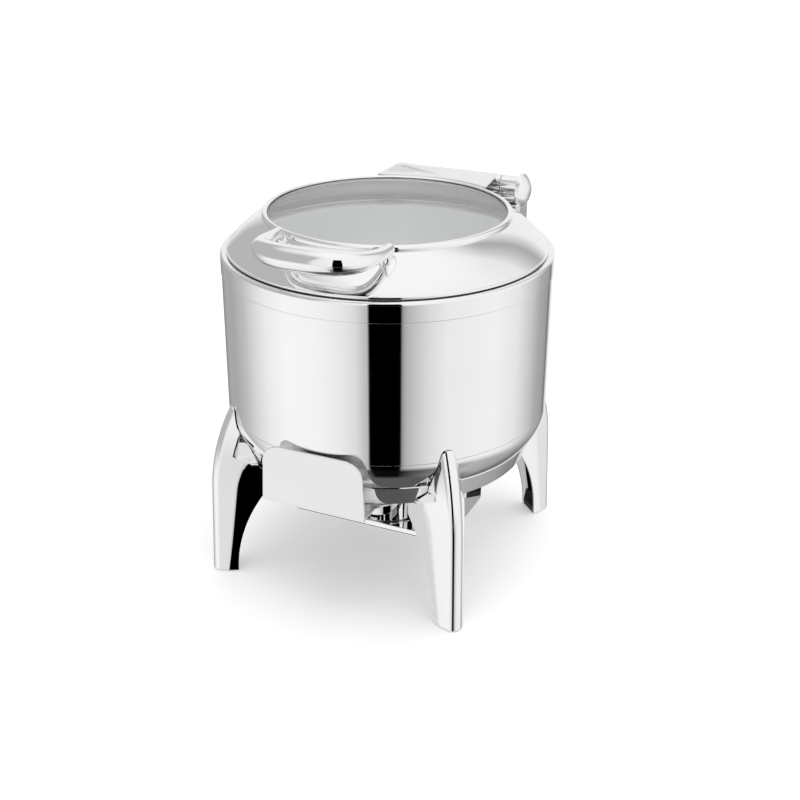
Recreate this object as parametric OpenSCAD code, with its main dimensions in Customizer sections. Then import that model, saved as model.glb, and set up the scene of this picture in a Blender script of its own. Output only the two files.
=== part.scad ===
// Round soup chafer: stand with four legs, lift-off tank, rear-hinged window lid, gel-fuel holder.
// Millimetres. +Z is up. The origin is on the floor under the middle of the tank.
// The handle is toward -Y and the hinge is toward +Y.

/* [Tank] */
// Outer radius of the plain tank wall
tank_r = 178; // [165:1:190]
// Height of the lower seam of the tank wall
tank_z0 = 186.5; // [180:0.5:195]
// Height of the seam below the collar
collar_z0 = 340; // [320:1:345]
// Height of the collar's top face, where the lid rests
collar_z1 = 361.1; // [355:0.1:365]
// Radius of the rounded bottom of the tank
bowl_r = 46; // [38:1:52]
// Sheet thickness of the tank wall
skin_t = 1.6; // [1:0.1:3]

/* [Pans] */
// Sheet thickness of the two pans
pan_t = 1.5; // [1:0.1:2.5]
// Outer radius of the food pan at its rim
food_r = 160; // [150:1:164]
// Height of the bottom of the food pan
food_z0 = 200; // [190:1:240]
// Corner radius of the food pan
food_corner = 30; // [15:1:45]

/* [Stand] */
// Radius of the support ring at its lower edge
ring_r0 = 157; // [150:0.5:160]
// Radius of the support ring at its upper edge
ring_r1 = 165.5; // [162:0.5:168]
// Height of the lower edge of the support ring
ring_z0 = 131; // [125:0.5:135]
// Height of the upper edge of the support ring
ring_z1 = 155.5; // [150:0.5:158]
// Sheet thickness of ring, shield and shelf
sheet_t = 2; // [1.5:0.1:3]

/* [Legs] */
// Half width of a leg above the ring
leg_w = 16; // [13:0.5:18]
// Radius of the rounded nose of a leg
leg_nose = 9.7; // [9:0.1:10.5]
// Slope of each face behind the nose, from the middle plane of the leg
leg_wedge = 28; // [26:0.5:30]
// Slope of each inner side, from the middle plane of the leg
leg_side = 16; // [14:0.5:18]
// Radius of the bend in the upper half of a leg
leg_bend = 218; // [200:1:240]
// Height of the tip of a leg
leg_top = 199.2; // [190:0.2:205]
// Wall thickness of a leg
leg_t = 3; // [2:0.25:5]

/* [Front shield] */
// Half width of the shield
shield_w = 59.5; // [50:0.5:65]
// Height of the upper edge of the shield
shield_top = 194; // [180:1:200]
// Distance of the shield's face from the middle
shield_y = 183; // [180:0.5:190]

/* [Fuel shelf and holder] */
// Half width of the fuel shelf
shelf_w = 97; // [80:1:105]
// Half depth of the fuel shelf
shelf_d = 54; // [50:1:70]
// Height of the underside of the fuel shelf
shelf_z = 42; // [30:1:55]
// Outer radius of the fuel holder
holder_r = 46; // [42:1:50]
// Height of the fuel holder
holder_h = 52; // [45:1:60]

/* [Lid] */
// Radius of the lid's flange
lid_r = 172.3; // [168:0.1:176]
// Height of the lid's lower edge
lid_z0 = 361.4; // [361.4:0.1:362]
// Outer radius of the window bezel
bezel_r = 133.2; // [120:0.2:140]
// Height of the top of the window bezel
bezel_top = 402.6; // [398:0.2:406]
// How far the lid's slope bulges outward
dome_bulge = 2.5; // [1:0.25:5]
// Radius of the window glass
glass_r = 128; // [115:1:135]

/* [Handle] */
// Half distance between the two ends of the handle
grip_half = 61; // [50:1:70]
// Distance of the handle's front from the middle
grip_y = 191; // [180:1:200]
// Radius of the handle in the middle
grip_r = 12.6; // [9:0.2:14]
// Radius of the handle at its ends
grip_end_r = 5.3; // [4:0.1:7]

/* [Hinge] */
// Distance of the hinge axis behind the middle
axis_y = 172; // [168:0.5:180]
// Height of the hinge axis
axis_z = 394; // [388:0.5:398]
// Radius of the hinge barrel
barrel_r = 9.8; // [8:0.1:12]
// Radius of the hinge pin
pin_r = 4; // [3:0.25:5]
// Running gap between pin and barrel, on the radius
pin_gap = 0.05; // [0.02:0.01:0.1]
// Radius of the round end cheek
cheek_r = 19.2; // [15:0.2:22]

/* [Hidden] */
steel = [0.80, 0.81, 0.83];
satin = [0.90, 0.90, 0.90];
rubber = [0.13, 0.13, 0.14];
glass = [0.75, 0.82, 0.85, 0.5];
brassy = [0.72, 0.62, 0.40];
round_fn = 96;
small_fn = 32;
eps = 0.02;
skin_r = tank_r - skin_t;
bowl_c = tank_r - bowl_r;
bowl_z = tank_z0 - bowl_r;
collar_r = tank_r + 0.6;
seat_z = collar_z1 - 4.6;
ring_slope = (ring_r1 - ring_r0) / (ring_z1 - ring_z0);
// centre of the leg's bend, and the height where the bend meets the straight lower part
leg_lean = 2.2;
leg_cr = 206.4 - leg_bend * cos(leg_lean);
leg_cz = 103.9 - leg_bend * sin(leg_lean);
leg_up = asin((leg_top - leg_cz) / leg_bend) + 2;
leg_angles = [-45, -135, 135, 45];
ear_z = ring_z0 - 3;
bolt_at = [151, 17];
foot_at = 197;
foot_hole_r = 2;
// centre and radius of the lid's convex slope, from its two ends and its bulge
dome_a = [lid_r - 1, lid_z0 + 2.6];
dome_b = [bezel_r - 0.7, bezel_top - 5.8];
dome_chord = norm(dome_b - dome_a);
dome_dir = (dome_b - dome_a) / dome_chord;
dome_R = dome_chord * dome_chord / (8 * dome_bulge) + dome_bulge / 2;
dome_c = (dome_a + dome_b) / 2 + [-dome_dir[1], dome_dir[0]] * (dome_R - dome_bulge);
dome_t = 1.6;
glass_z0 = bezel_top - 5.6;
glass_z1 = bezel_top - 2.1;
cover_z0 = 400.9;
cover_z1 = 403.1;
function dome_z(r) = dome_c[1] + sqrt(dome_R * dome_R - pow(r - dome_c[0], 2));
function dome_tilt(r) = asin((r - dome_c[0]) / dome_R);

// ---------- shared shapes ----------
module tube(r1, r0, h, fn = round_fn) {
    difference() {
        cylinder(r = r1, h = h, $fn = fn);
        translate([0, 0, -1]) cylinder(r = r0, h = h + 2, $fn = fn);
    }
}

// A pointed arch: straight sides w from the middle line, tip at x = 0, tip radius tr.
module bullet(w, d, tr, back = 70) {
    rho = (pow(d - tr, 2) + w * w - tr * tr) / (2 * (w - tr));
    cut = -d + rho * (d - tr) / (rho - tr);
    intersection() {
        translate([-d, -(rho - w)]) circle(r = rho, $fn = 60);
        translate([-d, rho - w]) circle(r = rho, $fn = 60);
        translate([-d, -w - 1]) square([d + cut, 2 * w + 2]);
    }
    intersection() {
        translate([-tr, 0]) circle(r = tr, $fn = 24);
        translate([cut, -w]) square([d, 2 * w]);
    }
    translate([-back, -w]) square([back - d, 2 * w]);
}

module tank_outline(gap) {
    translate([0, tank_z0 - eps]) square([tank_r + gap, 240]);
    intersection() {
        translate([bowl_c, tank_z0]) circle(r = bowl_r + gap, $fn = 144);
        translate([bowl_c, bowl_z - gap - 1]) square([bowl_r + gap + 1, bowl_r + gap + 1]);
    }
    translate([0, bowl_z - gap]) square([bowl_c + eps, bowl_r + gap]);
}

module on_dome(ang, r) {
    rotate([0, 0, ang]) translate([r, 0, dome_z(r)]) rotate([0, dome_tilt(r), 0]) children();
}

module across(x0, x1, y, z, r, fn = 48) {
    translate([x0, y, z]) rotate([0, 90, 0]) cylinder(r = r, h = x1 - x0, $fn = fn);
}

// Plate standing in the y-z plane, from x0 to x1
module rib(x0, x1, pts) {
    translate([x0, 0, 0]) rotate([90, 0, 90]) linear_extrude(x1 - x0) polygon(pts);
}

// Button head of radius r and height h on the plane z = 0
module button(r, h) {
    rr = (r * r + h * h) / (2 * h);
    intersection() {
        translate([0, 0, h - rr]) sphere(r = rr, $fn = small_fn);
        cylinder(r = r, h = h + 1, $fn = small_fn);
    }
}

// ---------- stand ----------
// Space the ring takes up, with a gap round it
module ring_outline(gap = 0) {
    polygon([[0, ring_z0 - gap], [ring_r0 + gap, ring_z0 - gap], [ring_r1 + gap, ring_z1 + gap], [0, ring_z1 + gap]]);
}

module support_ring() {
    color(steel)
    rotate_extrude($fn = round_fn)
    difference() {
        ring_outline();
        polygon([[0, ring_z0 + sheet_t],
                 [ring_r0 - sheet_t * 1.1 + sheet_t * ring_slope, ring_z0 + sheet_t],
                 [ring_r1 - sheet_t * 1.1, ring_z1 + 0.1],
                 [0, ring_z1 + 0.1]]);
        translate([0, ring_z0 - 1]) square([145, 5]);
        tank_outline(0.3);
    }
}

module shield_outline() {
    r = 20;
    k = 3;
    top = shield_top - ring_z0 + sheet_t;
    hull() {
        translate([-shield_w, 0]) square([2 * shield_w, 1]);
        translate([-(shield_w - k - r), top - r]) circle(r = r, $fn = 64);
        translate([shield_w - k - r, top - r]) circle(r = r, $fn = 64);
    }
}

module front_shield() {
    z = ring_z0 - sheet_t;
    fr = 20;
    cx = shield_w + fr - 1.5;
    cy = sqrt(pow(ring_r0 + fr, 2) - cx * cx);
    color(satin) {
        translate([0, -shield_y + sheet_t, z]) rotate([90, 0, 0]) linear_extrude(sheet_t) shield_outline();
        translate([0, 0, z])
        linear_extrude(sheet_t)
        difference() {
            union() {
                translate([-shield_w, -shield_y]) square([2 * shield_w, 45]);
                translate([-shield_w - 8, -cy]) square([2 * shield_w + 16, 30]);
            }
            circle(r = 146, $fn = round_fn);
            translate([cx, -cy]) circle(r = fr, $fn = 48);
            translate([-cx, -cy]) circle(r = fr, $fn = 48);
        }
    }
}

// Section of a leg with its nose at x = 0: round nose and two sloping faces. Inset i makes the hollow.
module leg_section(i, back = 70) {
    r = leg_nose - i;
    x = r * sin(leg_wedge) - leg_nose;
    y = r * cos(leg_wedge);
    y_back = y + (x + back) * tan(leg_wedge);
    translate([-leg_nose, 0]) circle(r = r, $fn = 72);
    polygon([[x, y], [-back, y_back], [-back, -y_back], [x, -y]]);
}

// What lies outside the two flat sides of a leg, which spread toward the top and the back
module beyond_sides(i) {
    for (s = [0, 1]) mirror([0, s, 0])
        translate([194.9, 13.8 - i, 0]) rotate([-0.7, 0, -leg_side]) translate([-150, 0, -50]) cube([300, 60, 400]);
}

// Outline of a leg seen from the front: an arch that spreads under the ring
module leg_front(i) {
    bullet(leg_w - i + 0.01, 40 - i, 8 - i, 230);
    polygon([[-55, leg_w - i], [-68, 32 - i], [-230, 32 - i], [-230, i - 32], [-68, i - 32], [-55, i - leg_w]]);
}

// Swept body of one leg, radial direction +X
module leg_core(i) {
    difference() {
        intersection() {
            union() {
                translate([leg_cr, 0, leg_cz]) rotate([90, 0, 0]) rotate([0, 0, leg_lean])
                    rotate_extrude(angle = leg_up - leg_lean, $fn = 96)
                    translate([leg_bend, 0]) leg_section(i);
                translate([206.4 + 120 * sin(leg_lean), 0, 103.9 - 120 * cos(leg_lean)]) rotate([0, -leg_lean, 0])
                    linear_extrude(120 + eps) leg_section(i);
            }
            translate([240, 0, leg_top - i]) rotate([0, -90, 0]) linear_extrude(140) leg_front(i);
        }
        beyond_sides(i);
    }
}

module leg(ang) {
    color(steel)
    rotate([0, 0, ang])
    difference() {
        union() {
            difference() {
                leg_core(0);
                leg_core(leg_t);
            }
            intersection() {
                leg_core(0);
                translate([140, -10, ear_z - 6]) cube([50, 20, 9]);
            }
            translate([144, -23.5, ear_z]) cube([20, 47, 3]);
        }
        translate([12.6, 0, 0.6]) rotate([90, 0, 0]) cylinder(r = 173.1, h = 90, center = true, $fn = 96);
        translate([0, -45, -5]) cube([144, 90, 300]);
        translate([100, -45, -20]) cube([140, 90, 21.5]);
        rotate_extrude($fn = round_fn) tank_outline(0.6);
        rotate_extrude($fn = round_fn) ring_outline(0.15);
        for (s = [-1, 1]) translate([bolt_at[0], s * bolt_at[1], ear_z - 9]) cylinder(r = 3.1, h = 30, $fn = small_fn);
    }
}

module leg_front_right() leg(leg_angles[0]);
module leg_front_left() leg(leg_angles[1]);
module leg_rear_left() leg(leg_angles[2]);
module leg_rear_right() leg(leg_angles[3]);

// Bolts through ring and leg ears, with a round nut below
module leg_bolts() {
    color(steel)
    for (a = leg_angles, s = [-1, 1]) rotate([0, 0, a]) translate([bolt_at[0], s * bolt_at[1], ear_z]) {
        mirror([0, 0, 1]) button(5.5, 4.5);
        cylinder(r = 3, h = 3, $fn = small_fn);
    }
}

module foot_pads() {
    color(rubber)
    for (a = leg_angles) rotate([0, 0, a])
        difference() {
            translate([210.3, 0, 0]) linear_extrude(7) leg_section(leg_t + 0.4, 24.2);
            beyond_sides(leg_t + 0.4);
            translate([200, -20, 1.5]) rotate([0, -leg_lean, 0]) translate([6.9, 0, 0]) cube([20, 40, 12]);
            translate([foot_at, 0, -1]) cylinder(r = foot_hole_r, h = 6, $fn = small_fn);
        }
}

// Folded tray outline in the x-z plane, with a slanted bend at each side
module tray_outline(i) {
    w = shelf_w - i;
    z = shelf_z + i;
    k = 5 - i * 0.4;
    top = ring_z0 - sheet_t;
    polygon([[-w, top], [-w, z + k], [-w + k, z], [w - k, z], [w, z + k], [w, top]]);
}

module fuel_shelf() {
    w = shelf_w;
    d = shelf_d;
    t = sheet_t;
    color(steel) {
        translate([0, d, 0]) rotate([90, 0, 0]) linear_extrude(2 * d) difference() {
            tray_outline(0);
            tray_outline(t);
            translate([-w + t, ring_z0 - t - 1]) square([2 * w - 2 * t, 2]);
        }
        translate([0, -d + t, 0]) rotate([90, 0, 0]) linear_extrude(t) intersection() {
            tray_outline(0);
            translate([-w, shelf_z]) square([2 * w, 7]);
        }
        for (s = [-1, 1]) translate([s > 0 ? w - t : -152, -22, ring_z0 - t]) cube([152 - w + t, 44, t]);
    }
}

module shelf_screws() {
    color(steel)
    for (s = [-1, 1], y = [-14, 14]) translate([s * 148, y, ring_z0 - sheet_t]) mirror([0, 0, 1]) button(4, 2.4);
}

// ---------- fuel holder ----------
module fuel_holder() {
    z = shelf_z + sheet_t + 0.1;
    color(steel) {
        translate([0, 0, z]) {
            cylinder(r = holder_r, h = 1.5, $fn = 64);
            tube(holder_r, holder_r - 1.5, holder_h, 64);
            translate([0, 0, holder_h - 1.5]) tube(holder_r, 29, 1.5, 64);
        }
    }
}

module fuel_can() {
    z = shelf_z + sheet_t + 0.1 + 1.5;
    color(brassy) {
        translate([0, 0, z])
        difference() {
            cylinder(r = 42, h = holder_h - 6, $fn = 64);
            translate([0, 0, 20]) cylinder(r = 22, h = 60, $fn = 48);
        }
    }
}

damper_z = shelf_z + sheet_t + 0.1 + holder_h;
module damper_pin() {
    color(steel) translate([-38, 0, damper_z]) {
        cylinder(r = 2.5, h = 2.8, $fn = small_fn);
        translate([0, 0, 2.8]) button(5, 2);
    }
}

module damper_lid() {
    color(steel)
    translate([0, 0, damper_z + 0.4])
    difference() {
        union() {
            cylinder(r = 34, h = 2, $fn = 64);
            translate([-38, 0, 0]) cylinder(r = 7, h = 2, $fn = small_fn);
            translate([-38, -7, 0]) cube([20, 14, 2]);
            translate([20, -6, 0]) cube([40, 12, 2]);
        }
        translate([-38, 0, -1]) cylinder(r = 2.5 + pin_gap, h = 4, $fn = small_fn);
    }
}

module damper_knob() {
    color(rubber) translate([54, 0, damper_z + 2.4]) cylinder(r = 4.5, h = 9, $fn = small_fn);
}

// ---------- tank ----------
module tank_wall() {
    color(steel) translate([0, 0, tank_z0]) tube(tank_r, tank_r - skin_t, collar_z0 - tank_z0);
}

module tank_collar() {
    color(steel)
    rotate_extrude($fn = round_fn)
    difference() {
        union() {
            translate([skin_r, collar_z0]) square([collar_r - skin_r, collar_z1 - 5 - collar_z0]);
            intersection() {
                translate([collar_r - 5, collar_z1 - 5]) circle(r = 5, $fn = 48);
                translate([collar_r - 5 - eps, collar_z1 - 5 - eps]) square(6);
            }
            translate([170.3, collar_z1 - 2.4]) square([collar_r - 5 - 170.3, 2.4]);
            translate([172, seat_z]) square([collar_r - 5 - 172 + 2.6, 4]);
        }
        translate([150, collar_z0 - 1]) square([skin_r - 150, seat_z - collar_z0 + 1]);
    }
}

module water_pan() {
    color(steel)
    rotate_extrude($fn = round_fn)
    difference() {
        union() {
            translate([0, tank_z0 - eps]) square([skin_r, seat_z - tank_z0 + eps]);
            intersection() {
                translate([bowl_c, tank_z0]) circle(r = bowl_r, $fn = 96);
                translate([bowl_c, bowl_z - 1]) square([bowl_r + 1, bowl_r + 1]);
            }
            translate([0, bowl_z]) square([bowl_c + eps, bowl_r]);
        }
        translate([0, tank_z0 - 1]) square([skin_r - pan_t, seat_z - tank_z0 - pan_t + 1]);
        translate([0, tank_z0]) square([167, 400]);
        intersection() {
            translate([bowl_c, tank_z0]) circle(r = bowl_r - 3, $fn = 96);
            translate([bowl_c, bowl_z]) square([bowl_r + 1, bowl_r]);
        }
        translate([-1, bowl_z + 3]) square([bowl_c + 1 + eps, bowl_r]);
    }
}

// Half section of the food pan, inset by t
module food_outline(t) {
    c = food_corner;
    translate([0, food_z0 + t]) square([food_r - c, seat_z + pan_t - food_z0 - t]);
    translate([0, food_z0 + c]) square([food_r - t, seat_z + pan_t - food_z0 - c]);
    translate([food_r - c, food_z0 + c]) circle(r = c - t, $fn = 64);
}

module food_pan() {
    color(satin)
    rotate_extrude($fn = round_fn)
    difference() {
        union() {
            food_outline(0);
            translate([0, seat_z]) square([169.5, pan_t]);
        }
        food_outline(pan_t);
    }
}

// ---------- hinge, fixed side ----------
module hinge_base() {
    color(steel)
    difference() {
        union() {
            intersection() {
                translate([0, 0, 302]) tube(tank_r + 5, tank_r, 36);
                translate([-70, 100, 300]) cube([166, 100, 40]);
            }
            difference() {
                union() {
                    rib(-62, -57, [[160, 302], [184, 302], [184, 364], [axis_y + 6.4, 384], [axis_y + 6.4, axis_z],
                                   [axis_y - 6.4, axis_z], [169.6, 372], [160, 338]]);
                    across(-62, -57, axis_y, axis_z, 6.4);
                    rib(88, 94, [[140, 302], [184, 302], [184, 376], [164, 376], [156, 366], [140, 338]]);
                    translate([-60, 180, 345]) cube([154, 4, 37]);
                }
                translate([0, 0, 290]) cylinder(r = tank_r + 1.2, h = 72, $fn = round_fn);
            }
        }
        across(-63, -56, axis_y, axis_z, pin_r);
        translate([0, 0, 290]) cylinder(r = tank_r, h = 72, $fn = round_fn);
        across(87, 95, axis_y, axis_z - 5.5, cheek_r);
    }
}

base_screw_at = [100, 80, 65];
module base_screws() {
    color(steel)
    for (a = base_screw_at, z = [311, 329]) rotate([0, 0, a]) translate([tank_r + 5, 0, z]) rotate([0, 90, 0]) button(4.5, 2.6);
}

module hinge_pin() {
    color(steel) {
        across(-66, 88, axis_y, axis_z, pin_r);
        across(-66, -62, axis_y, axis_z, 6);
    }
}

module hinge_tube() {
    color(steel)
    difference() {
        across(66.6, 88, axis_y, axis_z, barrel_r);
        across(66, 89, axis_y, axis_z, pin_r);
    }
}

module hinge_cheek() {
    h = 8;
    rr = (cheek_r * cheek_r + h * h) / (2 * h);
    color(steel)
    translate([88, axis_y, axis_z - 5.5]) rotate([0, 90, 0])
    rotate_extrude($fn = 64) {
        square([cheek_r, 5 + eps]);
        intersection() {
            translate([0, 5 + h - rr]) circle(r = rr, $fn = 96);
            translate([0, 5]) square([cheek_r, h + 1]);
        }
    }
}

module hinge_rod() {
    color(steel) across(66.6, 88, axis_y, axis_z - 15.6, 4.5, 32);
}

// ---------- lid ----------
module dome_outline(gap) {
    translate(dome_c) circle(r = dome_R + gap, $fn = 360);
}

// Everything under the lid's outer surface, or under a surface that stands off it by gap
module lid_outline(gap = 0) {
    intersection() {
        dome_outline(gap);
        translate([0, lid_z0 - 20]) square([lid_r - 1, 80]);
    }
}

module lid_dome() {
    color(steel)
    rotate_extrude($fn = round_fn) {
        intersection() {
            difference() {
                dome_outline(0);
                dome_outline(-dome_t);
            }
            translate([bezel_r - 2.2, lid_z0 + 1]) square([lid_r - 1 - bezel_r + 2.2, dome_b[1] - lid_z0 - 1]);
        }
        translate([169.2, lid_z0]) square([lid_r - 169.2, 3.1]);
        translate([bezel_r - 2.2, dome_b[1] - 3.4]) square([1.6, 3.4]);
    }
}

module rim_seal() {
    color(rubber) rotate_extrude($fn = round_fn) translate([166, lid_z0 + 0.2]) square([3.2, 2.4]);
}

module window_bezel() {
    rb = 3.3;
    rm = bezel_r - rb;
    color(steel)
    rotate_extrude($fn = round_fn)
    difference() {
        union() {
            translate([rm, bezel_top - rb]) circle(r = rb, $fn = 32);
            translate([rm - rb, dome_b[1]]) square([2 * rb, bezel_top - rb - dome_b[1]]);
        }
        translate([rm - rb - 1, glass_z0 - 3]) square([glass_r + 1.2 - rm + rb + 1, glass_z1 - glass_z0 + 3.7]);
        translate([rm - rb - 1, dome_b[1] - 4]) square([2 * rb + 2, 4]);
    }
}

module window_gasket() {
    color(rubber)
    rotate_extrude($fn = round_fn)
    difference() {
        translate([bezel_r - 6.4, glass_z0 - 0.2]) square([glass_r + 1.2 - bezel_r + 6.4, glass_z1 - glass_z0 + 0.9]);
        translate([0, glass_z0]) square([glass_r, glass_z1 - glass_z0]);
    }
}

module window_glass() {
    color(glass) translate([0, 0, glass_z0]) cylinder(r = glass_r, h = glass_z1 - glass_z0, $fn = round_fn);
}

// ---------- handle ----------
grip_n = 3.2;
grip_y0 = 126;
grip_z0 = 402.5;
grip_z1 = 402.5;
function sgn_pow(c, p) = (c < 0 ? -1 : 1) * pow(abs(c), p);
function grip_pt(t) = [-grip_half * sgn_pow(cos(t), 2 / grip_n),
                       -grip_y0 - (grip_y - grip_y0) * pow(sin(t), 2 / grip_n),
                       grip_z0 + (grip_z1 - grip_z0) * pow(sin(t), 2 / grip_n)];
function grip_rad(t) = grip_end_r + (grip_r - grip_end_r) * sin(t);
// stations closer together where the bow turns
grip_t = [0, 1.5, 5, 10, 16, 23, 31, 40, 50, 62, 76, 90, 104, 118, 130, 140, 149, 157, 164, 170, 175, 178.5, 180];

module grip_disc(i) {
    t = grip_t[i];
    a = grip_pt(max(t - 1, 0));
    b = grip_pt(min(t + 1, 180));
    translate(grip_pt(t)) rotate([0, 0, atan2(b[1] - a[1], b[0] - a[0])])
        rotate([0, 90, 0]) cylinder(r = grip_rad(t), h = 0.05, center = true, $fn = 32);
}

module handle_bow() {
    color(steel)
    for (i = [0 : len(grip_t) - 2]) hull() {
        grip_disc(i);
        grip_disc(i + 1);
    }
}

module lens(half_l, half_w) {
    rho = (half_l * half_l + half_w * half_w) / (2 * half_w);
    intersection() {
        translate([0, rho - half_w]) circle(r = rho, $fn = 96);
        translate([0, -rho + half_w]) circle(r = rho, $fn = 96);
    }
}

module handle_feet() {
    color(steel)
    difference() {
        for (s = [-1, 1]) {
            on_dome(-90 + s * 25, 144) translate([0, 0, -2]) linear_extrude(4.5) lens(16, 8.5);
            on_dome(-90 + s * 25, 141) translate([-2, 0, 0]) cylinder(r = 4.5, h = 9, $fn = small_fn);
        }
        rotate_extrude($fn = 360) lid_outline(0.1);
        cylinder(r = bezel_r + 0.4, h = 420, $fn = 180);
        handle_bow();
    }
}

module handle_screws() {
    color(steel)
    for (s = [-1, 1]) on_dome(-90 + s * 25, 144) translate([0, 0, -dome_t - 0.2])
        mirror([0, 0, 1]) button(5, 3);
}

// ---------- hinge, lid side ----------
module lid_arm() {
    color(steel)
    difference() {
        union() {
            across(-56.6, 66.2, axis_y, axis_z, barrel_r);
            for (x = [-44, 40]) rib(x, x + 6, [[134, cover_z0], [axis_y, cover_z0], [axis_y, axis_z - 6],
                                               [axis_y - 9, axis_z - 6], [158, 376], [136, 392]]);
            intersection() {
                rotate_extrude($fn = round_fn) intersection() {
                    dome_outline(2.2);
                    translate([140, lid_z0 + 1]) square([23, 40]);
                }
                translate([-54, 100, 365]) cube([110, 70, 40]);
            }
        }
        across(-58, 68, axis_y, axis_z, pin_r + pin_gap);
        translate([-80, 100, cover_z0]) cube([160, 100, 20]);
        rotate_extrude($fn = round_fn) lid_outline();
        cylinder(r = bezel_r + 0.6, h = 420, $fn = round_fn);
    }
}

module arm_screws() {
    color(steel)
    for (a = [-12, -4, 4, 12]) on_dome(90 + a, 152) translate([0, 0, 2.2]) button(3.6, 2.2);
}

module hinge_cover() {
    color(satin)
    difference() {
        translate([-68, 120, cover_z0]) cube([134.2, 58, cover_z1 - cover_z0]);
        cylinder(r = bezel_r + 0.6, h = 420, $fn = round_fn);
        translate([-64, 160, cover_z1 - 1]) cube([12, 4, 3]);
    }
}

support_ring();
front_shield();
leg_front_right();
leg_front_left();
leg_rear_left();
leg_rear_right();
leg_bolts();
foot_pads();
fuel_shelf();
shelf_screws();
fuel_holder();
fuel_can();
damper_pin();
damper_lid();
damper_knob();
tank_wall();
tank_collar();
water_pan();
food_pan();
hinge_base();
base_screws();
hinge_pin();
hinge_tube();
hinge_cheek();
hinge_rod();
lid_dome();
rim_seal();
window_bezel();
window_gasket();
window_glass();
handle_bow();
handle_feet();
handle_screws();
lid_arm();
arm_screws();
hinge_cover();
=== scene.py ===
"""Round soup chafer: the finished look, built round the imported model.

A Blender add-on that also runs as a script."""

import math

import bmesh
import bpy
from mathutils import Matrix, Vector


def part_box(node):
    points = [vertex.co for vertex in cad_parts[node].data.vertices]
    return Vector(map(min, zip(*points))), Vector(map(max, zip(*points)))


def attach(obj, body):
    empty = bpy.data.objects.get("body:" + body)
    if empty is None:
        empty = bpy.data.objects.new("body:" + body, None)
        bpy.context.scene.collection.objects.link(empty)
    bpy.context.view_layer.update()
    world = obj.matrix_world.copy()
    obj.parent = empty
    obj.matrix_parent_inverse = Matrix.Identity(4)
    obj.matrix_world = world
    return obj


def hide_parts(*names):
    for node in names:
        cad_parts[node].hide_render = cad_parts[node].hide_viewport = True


bl_info = {
    "name": "Round Soup Chafer",
    "version": (1, 0, 0),
    "blender": (4, 5, 0),
    "location": "View3D > Sidebar > Chafer",
    "description": "Builds the polished look of a round soup chafer round its packed model",
    "category": "Add Mesh",
}

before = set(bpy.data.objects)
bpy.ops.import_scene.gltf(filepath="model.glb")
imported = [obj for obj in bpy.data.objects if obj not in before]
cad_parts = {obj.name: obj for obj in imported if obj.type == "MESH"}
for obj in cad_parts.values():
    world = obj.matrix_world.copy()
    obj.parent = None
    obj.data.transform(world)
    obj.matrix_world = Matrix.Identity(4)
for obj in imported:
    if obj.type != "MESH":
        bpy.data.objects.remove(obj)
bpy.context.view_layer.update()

# Shapes are worked out in millimetres and written in metres.
MM = 0.001


def top_of(node):
    """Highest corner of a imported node, in millimetres."""
    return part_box(node)[1] / MM


def foot_of(node):
    """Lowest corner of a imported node, in millimetres."""
    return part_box(node)[0] / MM


# ---------------------------------------------------------------- properties


class ChaferSizes(bpy.types.PropertyGroup):
    """Sizes that the visible pieces are drawn from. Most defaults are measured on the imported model."""

    tank_radius: bpy.props.FloatProperty(
        name="Tank radius", description="Outer radius of the tank wall",
        default=top_of("tank_wall").x * MM, unit="LENGTH")
    seam_low: bpy.props.FloatProperty(
        name="Lower seam", description="Height of the seam between bowl and tank wall",
        default=foot_of("tank_wall").z * MM, unit="LENGTH")
    seam_high: bpy.props.FloatProperty(
        name="Collar seam", description="Height of the seam below the collar",
        default=top_of("tank_wall").z * MM, unit="LENGTH")
    collar_radius: bpy.props.FloatProperty(
        name="Collar radius", description="Outer radius of the collar",
        default=top_of("tank_collar").x * MM, unit="LENGTH")
    collar_top: bpy.props.FloatProperty(
        name="Collar top", description="Height of the collar's top face",
        default=top_of("tank_collar").z * MM, unit="LENGTH")
    lid_radius: bpy.props.FloatProperty(
        name="Lid radius", description="Radius of the lid's flange",
        default=top_of("lid_dome").x * MM, unit="LENGTH")
    lid_foot: bpy.props.FloatProperty(
        name="Lid lower edge", description="Height of the lower edge of the lid",
        default=foot_of("lid_dome").z * MM, unit="LENGTH")
    bezel_radius: bpy.props.FloatProperty(
        name="Bezel radius", description="Outer radius of the ring round the window",
        default=top_of("window_bezel").x * MM, unit="LENGTH")
    bezel_top: bpy.props.FloatProperty(
        name="Bezel top", description="Height of the ring round the window",
        default=top_of("window_bezel").z * MM, unit="LENGTH")
    leg_half_width: bpy.props.FloatProperty(
        name="Leg half width", description="Half the width of a leg", default=15 * MM, unit="LENGTH")
    leg_top: bpy.props.FloatProperty(
        name="Leg top", description="Height of the tip of a leg",
        default=top_of("leg_front_right").z * MM, unit="LENGTH")
    grip_radius: bpy.props.FloatProperty(
        name="Handle radius", description="Radius of the handle in the middle of its bow",
        default=12.6 * MM, unit="LENGTH")


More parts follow.
